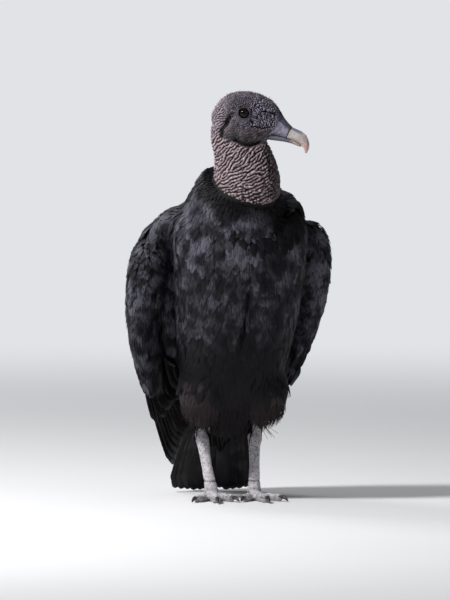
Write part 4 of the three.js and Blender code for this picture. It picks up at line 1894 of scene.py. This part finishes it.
    def bristles(self) -> None:
        """Sparse short bristles over the crown, the nape and the lores."""
        ahead, up, _ = self.axes.split(self.places)
        rng = default_rng(181)
        bare = self.skin.bed_feathered < 0.1
        usable = np.flatnonzero(bare & (up > 0.006) & (ahead < 0.042) & (rng.random(len(up)) < 0.8))
        chosen = usable[scattered(self.places[usable], 0.0029, rng)]
        normals = self.normals[chosen]
        back = tangent(-self.axes.forward - 0.2 * UP, normals)
        way = unit(0.75 * normals + back * rng.uniform(0.2, 1.1, (len(chosen), 1))
                   + rng.normal(0, 0.22, (len(chosen), 3)))
        reach = rng.uniform(0.0013, 0.0029, len(chosen))[:, None, None]
        reach = reach * np.linspace(-0.25, 1.0, 3)[None, :, None]
        lines = self.places[chosen][:, None] + way[:, None] * reach
        lines = lines - back[:, None] * 0.15 * reach ** 2 / 0.003
        across = unit(np.cross(way, normals))[:, None] * np.ones((1, 3, 1))
        facing = np.cross(way[:, None] * np.ones((1, 3, 1)), across)
        tree = kd_tree(self.places[self.triangles].mean(1))
        face = [tree.find(point)[1] for point in self.places[chosen].tolist()]
        piece = laid_out("bristles", SHAPES[Vane.BRISTLE], lines, facing, across,
                         np.full(len(chosen), 0.00034), 0.00022, self.corner_uv[face].mean(1))
        each = len(SHAPES[Vane.BRISTLE].places)
        report(piece, FINISHES["flight_feathers"], "plumage", [],
               shade=np.repeat(rng.random(len(chosen)), each), brown=np.full(len(chosen) * each, 0.4))


def painted_sheen(places: Array, rng: np.random.Generator, out_of_painted_shadow: Array, least: Array) -> Array:
    """How much painted sheen each feather has: a painted highlight in patches, most on the upper chest, the
    shoulders and the wrists.

    Args:
        places: the feathers' roots.
        rng: for the difference between one feather and the next.
        out_of_painted_shadow: how much of the painted sheen each keeps, from 0 in the painted shadow beside
            the wings, in the chest's furrow and by the collar, to 1 clear of them.
        least: the least share that a low place is given.

    Returns:
        A share for each feather.
    """
    height = places[:, 2]
    # Painted sheen: more on the upper chest, the shoulders and the wrists, where the light falls, in random
    # patches.
    region = least + (1.0 - least) * ease(height, 0.185, 0.265) + 0.7 * ease(height, 0.305, 0.345)
    patch = ease(wander(places, 0.020, 71) + 0.6 * wander(places, 0.050, 72), -1.2, 1.4)
    stray = 0.10 * (rng.random(len(places)) - 0.5)
    return np.clip(region * out_of_painted_shadow * (0.50 + 0.50 * patch) + stray, 0.0, 1.5)


def laid_out(name: str, shape: Shape, lines: Array, facing: Array, across: Array, widths: Array,
             thick: float, root_uv: Array, soft: Array | None = None) -> Piece:
    """Copies one feather along many lines, as one mesh with both of its maps.

    Args:
        name: the piece's name.
        shape: the feather, drawn flat.
        lines: each feather's middle line.
        facing: the direction of its upper side at each point of the line.
        across: the direction across it there.
        widths: the feathers' widths.
        thick: their thickness.
        root_uv: each root's place on the coat's map.
        soft: the body's own normals along the lines, where the vanes are shaded as one soft coat.

    Returns:
        The joined feathers.
    """
    count, knots = lines.shape[:2]
    x = np.clip(shape.places[:, 0], 0.0, 1.0) * (knots - 1)
    low = np.minimum(x.astype(int), knots - 2)
    part = (x - low)[None, :, None]

    def along(values: Array) -> Array:
        """Values on the lines, at the shape's vertices."""
        return values[:, low] * (1.0 - part) + values[:, low + 1] * part

    places = (along(lines) + along(across) * (shape.places[:, 1] * widths[:, None])[:, :, None]
              + along(facing) * (shape.places[:, 2] * thick)[None, :, None])
    faces = shape.faces[None] + (np.arange(count) * len(shape.places))[:, None, None]
    piece = write_mesh(name, places.reshape(-1, 3), faces.reshape(-1, 4))
    corner = shape.faces.ravel()
    flat = np.stack([shape.places[corner, 1] + 0.5, shape.places[corner, 0]], axis=1)
    vane = piece.data.uv_layers.new(name=VANE_MAP)
    vane.data.foreach_set("uv", np.tile(flat, (count, 1)).astype(np.float32).ravel())
    bake = piece.data.uv_layers.new(name=BAKE_MAP)
    patch = root_uv[:, None, :] + (flat[None] - 0.5) * BAKE_PATCH
    bake.data.foreach_set("uv", patch.astype(np.float32).ravel())
    piece.data.polygons.foreach_set("use_smooth", np.ones(len(piece.data.polygons), bool))
    if soft is not None:
        upper = np.where(np.arange(len(shape.places)) < len(shape.places) // 2, 1.0, -1.0)[None, :, None]
        bend = 0.7 * shape.places[:, 1][None, :, None]
        shown = unit(along(soft) + along(across) * bend) * upper
        piece.data.normals_split_custom_set_from_vertices(shown.reshape(-1, 3).tolist())
    return piece


def coat_zones(plumage: Plumage) -> dict[str, tuple[Array, Array]]:
    """Where each coat grows, and how large its feathers are there.

    Args:
        plumage: the sampled bed.

    Returns:
        For each coat's name, whether each sample is in its zone, and its size as a share of the coat's.
    """
    places, node = plumage.roots, plumage.node
    rim = over_neck(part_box("neck")[0][2] + 0.03)
    from_rim = norm(places - rim, axis=1)
    trunk = node == "trunk"
    thigh = np.char.startswith(node, "thigh")
    arm = np.char.startswith(node, "wing_arm")
    shoulder = np.char.startswith(node, "wing_shoulder")
    height = places[:, 2] + 0.010 * wander(places, 0.030, 61)
    front = plumage.root_normals[:, 1] + 0.2 * wander(places, 0.030, 62) < 0.15
    ruff = trunk & (from_rim + 0.004 * wander(places, 0.020, 63) < 0.070)
    belly = trunk & ~ruff & (height < 0.165)
    rump = trunk & (places[:, 1] > 0.030) & (height < 0.185) & (plumage.root_normals[:, 1] > -0.15)
    back = trunk & ~ruff & ~belly & ~front
    chest = trunk & ~ruff & ~belly & front
    one = np.ones(len(places))
    by_collar = plumage.by_collar
    low_front = (plumage.root_normals[:, 2] < 0.35) & ~plumage.covered
    hem = (np.abs(places[:, 2] - 0.116) < 0.014) & (places[:, 1] < 0.02)
    return {
        "ruff_feathers": (ruff & (by_collar > 0.0024), 0.42 + 0.65 * ease(by_collar, 0.002, 0.030)),
        "chest_feathers": (chest, 0.85 + 0.2 * ease(height, 0.36, 0.28)),
        "back_feathers": (back, one),
        "belly_feathers": (belly & ~rump & (places[:, 2] > 0.108), one),
        "tail_coverts": (rump & (places[:, 2] > 0.108), 0.60 + 0.50 * ease(places[:, 1], 0.03, 0.06)),
        "thigh_feathers": (thigh & (places[:, 2] > 0.101), 0.36 + 0.64 * ease(height, 0.100, 0.145)),
        "fringe": ((thigh | trunk) & low_front & hem, 0.75 + 0.75 * trunk),
        "wrist_coverts": (arm & (height > 0.235), 0.6 + 0.5 * ease(height, 0.33, 0.25)),
        "wing_coverts": (arm & (height <= 0.245) & (places[:, 2] > 0.150),
                         0.75 + 0.3 * ease(height, 0.24, 0.19) - 0.45 * ease(places[:, 2], 0.185, 0.150)),
        "shoulder_feathers": (shoulder, 0.7 + 0.4 * ease(height, 0.34, 0.24)),
    }


TAILWARD = (0.0, 0.76, -0.65)
DOWNWARD = (0.0, 0.05, -1.0)
WINGTIPWARD = (-0.30, 0.57, -0.76)
COATS = (
    Coat("ruff_feathers", Vane.PLUME, 0.0042, 0.021, 0.0082, 0.0003, 101, lift=0.6),
    Coat("chest_feathers", Vane.PLUME, 0.0060, 0.034, 0.0120, 0.0003, 111),
    Coat("back_feathers", Vane.CONTOUR, 0.0080, 0.040, 0.0165, 0.0003, 121),
    Coat("belly_feathers", Vane.PLUME, 0.0056, 0.036, 0.0100, 0.0003, 131, hang=0.12, painted_sheen=0.6),
    Coat("tail_coverts", Vane.COVERT, 0.0090, 0.052, 0.0190, 0.0004, 136, hang=1.0, way=TAILWARD),
    Coat("thigh_feathers", Vane.PLUME, 0.0042, 0.022, 0.0070, 0.0003, 141),
    Coat("fringe", Vane.STRAND, 0.0030, 0.026, 0.0016, 0.0003, 146, hang=0.9, way=DOWNWARD, painted_sheen=0.4),
    Coat("wrist_coverts", Vane.COVERT, 0.0058, 0.018, 0.0100, 0.0004, 151, painted_sheen=1.9),
    Coat("wing_coverts", Vane.COVERT, 0.0078, 0.050, 0.0135, 0.0004, 161, hang=0.7, way=WINGTIPWARD,
         painted_sheen=1.8),
    Coat("shoulder_feathers", Vane.COVERT, 0.0084, 0.044, 0.0175, 0.0004, 171, hang=0.25, way=WINGTIPWARD,
         painted_sheen=2.0),
)
SHAPES: dict[Vane, Shape] = {}
FINISHES: dict[str, Material] = {}


# ---- flight feathers
@dataclass(frozen=True)
class QuillRow:
    """A row of long feathers between a first and a last one, placed by a node's box.

    Each place is a share of the box: outwards from the bird, backwards and upwards.
    """

    part: str
    vane: Vane
    count: int
    roots: Ends
    tips: Ends
    facing: Ends
    width: float
    sag: float
    over: float
    seed: int
    above: float = 0.0
    stands_for: bool = True


WING_ROWS = (
    QuillRow("primaries", Vane.QUILL, 9, ((0.54, 0.60, 0.36), (-0.10, 0.80, 0.42)),
             ((-0.52, 1.57, -0.51), (-1.00, 1.42, -0.22)), ((1.0, 0.75, -0.1), (0.50, 0.9, 0.15)),
             0.033, 0.004, 0.0010, 201),
    QuillRow("secondaries", Vane.QUILL, 9, ((0.45, 0.62, 0.50), (-0.43, 0.70, 0.76)),
             ((-0.10, 1.22, -0.22), (-1.01, 1.17, 0.05)), ((1.3, 0.9, 0.35), (0.3, 0.9, 0.35)),
             0.040, 0.005, 0.0012, 211),
    QuillRow("greater_coverts", Vane.COVERT, 13, ((0.60, 0.56, 0.44), (-0.36, 0.60, 0.80)),
             ((0.26, 0.96, 0.10), (-0.74, 0.96, 0.36)), ((1.3, 0.9, 0.25), (0.3, 0.9, 0.30)),
             0.026, 0.004, 0.0006, 231, 0.0030, False),
    QuillRow("median_coverts", Vane.COVERT, 13, ((0.62, 0.50, 0.58), (-0.28, 0.46, 0.86)),
             ((0.38, 0.84, 0.34), (-0.58, 0.80, 0.56)), ((1.3, 0.9, 0.25), (0.3, 0.9, 0.30)),
             0.026, 0.003, 0.0005, 241, 0.0045, False),
)
TAIL_ROW = QuillRow("tail", Vane.QUILL, 12, ((0.355, -0.144, 1.10), (0.646, -0.144, 1.10)),
                    ((0.075, 0.955, 0.016), (0.925, 0.955, 0.016)),
                    ((-0.25, 0.84, 0.54), (0.25, 0.84, 0.54)), 0.027, 0.004, 0.0, 221)


@dataclass
class FlightFeathers:
    """The long feathers of both wings and of the tail."""

    knots: int = 12
    thick: float = 0.0008
    stray: float = 0.0022
    clear: float = 0.0008
    rooted: float = 0.006

    def build(self) -> None:
        """Lays every row."""
        for side in Side:
            low, high = (np.array(corner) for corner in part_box(f"wing_arm_{side.value}"))
            if side is Side.RIGHT:
                low[0], high[0] = high[0], low[0]
            for row in WING_ROWS:
                nodes = [f"wing_{row.part}_{side.value}"] if row.stands_for else []
                self.lay(row, low, high, side.sign, f"{row.part}_{side.value}", nodes)
        low, high = (np.array(corner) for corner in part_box("tail"))
        self.lay(TAIL_ROW, low, high, 1, "tail_feathers", ["tail"])

    def lay(self, row: QuillRow, low: Array, high: Array, sign: int, name: str,
            nodes: list[str]) -> None:
        """Lays one row.

        Args:
            row: what the row is like.
            low: the corner of the box where the shares are 0.
            high: the corner where they are 1.
            sign: -1 where outwards is to the bird's right.
            name: the piece's name.
            nodes: the nodes that the row replaces.
        """
        rng = default_rng(row.seed + sign)
        share = np.linspace(0.0, 1.0, row.count)[:, None]

        def between(ends: Ends) -> Array:
            """Places from the first feather to the last."""
            return np.array(ends[0]) * (1.0 - share) + np.array(ends[1]) * share

        roots = low + between(row.roots) * (high - low)
        tips = low + between(row.tips) * (high - low)
        tips[:, 2] += rng.normal(0, self.stray, row.count)
        tips[:, 2] = np.maximum(tips[:, 2], self.clear)
        if row is TAIL_ROW:
            bow = (2.0 * share[:, 0] - 1.0) ** 2
            tips[:, 2] = np.maximum(tips[:, 2], 0.0012 + 0.006 * bow)
        facing = unit(between(row.facing) * (sign, 1.0, 1.0))
        along = np.linspace(0.0, 1.0, self.knots)
        lines = roots[:, None] * (1.0 - along)[None, :, None] + tips[:, None] * along[None, :, None]
        if row is TAIL_ROW:
            order = -np.abs(np.arange(row.count) - (row.count - 1) / 2)
            layer = 0.0011 * order + 0.0004 * (np.arange(row.count) % 2)
        else:
            layer = row.over * np.arange(row.count) + row.above
        rise = row.sag * np.sin(along * np.pi)[None] + layer[:, None]
        rise = rise - (self.rooted + row.above) * (1.0 - ease(along, 0.0, 0.3))[None]
        lines = lines + facing[:, None] * rise[:, :, None]
        lines[:, :, 2] = np.maximum(lines[:, :, 2], 0.001)
        ahead = unit(np.gradient(lines, axis=1))
        across = unit(np.cross(np.broadcast_to(facing[:, None], ahead.shape), ahead))
        widths = row.width * rng.uniform(0.94, 1.04, row.count)
        shape = SHAPES[row.vane]
        flat = np.stack([(np.arange(row.count) + 0.5) / row.count, np.full(row.count, 0.5)], axis=1)
        upper = unit(np.cross(ahead, across))
        piece = laid_out(name, shape, lines, upper, across, widths, self.thick, flat)
        move_to(piece, grounded(coords(piece)))
        each = len(shape.places)
        report(piece, FINISHES["flight_feathers"], "flight_feathers", nodes,
               shade=np.repeat(rng.random(row.count), each),
               brown=np.repeat(rng.random(row.count) * 0.4, each))


# ---- studio
@dataclass
class Studio:
    """The pale floor, the lamps and the camera."""

    view_height: float = 0.750
    distance: float = 15.0
    bearing: float = -10.0
    rise: float = 3.0
    aim: Triple = (-0.0045, -0.0262, -0.0067)
    sensor: float = 36.0
    floor_radius: float = 4.2

    def build(self) -> None:
        """Sets the whole studio up."""
        self.place_camera()
        self.light()
        self.lay_floor()
        bpy.context.scene.view_settings.view_transform = "Standard"

    def place_camera(self) -> None:
        """Aims a long lens at the bird from its front."""
        low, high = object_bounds()
        target = (Vector(low) + Vector(high)) / 2 + Vector(self.aim)
        way = bearing(self.bearing, self.rise)
        data = bpy.data.cameras.new("camera")
        data.sensor_width = self.sensor
        data.lens = self.sensor * self.distance / self.view_height
        data.clip_end = 80.0
        bpy.context.scene.camera = aimed("camera", data, target, way, self.distance)

    def light(self) -> None:
        """A soft key from the bird's right front, a weak fill, a rim from behind, and a pale world."""
        middle = Vector((0.0, 0.0, 0.28))
        for lamp in LAMPS:
            data = bpy.data.lights.new(lamp.name, "AREA")
            data.size = lamp.size
            data.energy = lamp.level * (math.pi * lamp.away) ** 2
            aimed(lamp.name, data, middle, bearing(lamp.bearing, lamp.rise), lamp.away)
        world = bpy.data.worlds.new("studio")
        world.use_nodes = True
        tree = world.node_tree
        background = tree.nodes["Background"]
        background.inputs["Color"].default_value = (0.94, 0.96, 1.0, 1.0)
        path = tree.nodes.new("ShaderNodeLightPath")
        span = tree.nodes.new("ShaderNodeMapRange")
        span.inputs["To Min"].default_value = 0.20
        span.inputs["To Max"].default_value = 0.80
        tree.links.new(path.outputs["Is Camera Ray"], span.inputs["Value"])
        tree.links.new(span.outputs[0], background.inputs["Strength"])
        bpy.context.scene.world = world

    def lay_floor(self) -> None:
        """A pale round floor that fades into the world's own colour towards its rim."""
        deselect()
        bpy.ops.mesh.primitive_circle_add(vertices=96, radius=self.floor_radius, fill_type="TRIFAN")
        floor = bpy.context.object
        floor.name = floor.data.name = "studio_floor"
        shade = Shader("studio_floor")
        place = shade.place()
        tone = shade.mix(shade.noise(place, 3.0), (0.80, 0.80, 0.81), (0.83, 0.83, 0.84))
        far = shade.node("ShaderNodeVectorMath", operation="LENGTH")
        shade.feed(far.inputs[0], place)
        shown = shade.span(far.outputs["Value"], 0.9, self.floor_radius * 0.85, 1.0, 0.0)
        shade.feed(shade.surface.inputs["Alpha"], shown)
        floor.data.materials.append(shade.finish(tone, 0.9, Specular_IOR_Level=0.1))
        floor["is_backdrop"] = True


@dataclass(frozen=True)
class Lamp:
    """A square lamp aimed at the bird; its level is how bright it alone shows a white facing surface."""

    name: str
    bearing: float
    rise: float
    away: float
    size: float
    level: float


LAMPS = (
    Lamp("key", -62.0, 44.0, 2.2, 0.4, 1.16),
    Lamp("fill", 45.0, 20.0, 2.6, 1.6, 0.06),
    Lamp("rim", -150.0, 40.0, 2.4, 0.8, 0.30),
)


def aimed(name: str, data: bpy.types.ID, target: Vector, way: Vector, away: float) -> Piece:
    """Puts a camera or a lamp at a distance from its target, facing it."""
    made = bpy.data.objects.new(name, data)
    made.location = target + way * away
    made.rotation_euler = way.to_track_quat("Z", "Y").to_euler()
    link(made)
    return made


def bearing(turn: float, rise: float) -> Vector:
    """The direction at so many degrees round from the bird's front and so many above level."""
    a, e = math.radians(turn), math.radians(rise)
    return Vector((math.sin(a) * math.cos(e), -math.cos(a) * math.cos(e), math.sin(e)))


def main() -> None:
    """Builds the studio and then the bird, piece by piece."""
    logging.basicConfig(level=logging.INFO, format="%(name)s %(message)s")
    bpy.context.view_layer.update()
    Studio().build()
    axes = HeadAxes.found()
    for finish in (COAT, FLIGHT):
        FINISHES[finish.name] = finish.material()
    for vane in Vane:
        SHAPES[vane] = Shape.modelled(vane)
    skin = Skin(axes)
    skin.build()
    Bill(axes).build()
    Eyes(axes).build()
    Claws().build()
    Plumage(axes, skin).build()
    FlightFeathers().build()


if __name__ == "__main__":
    main()
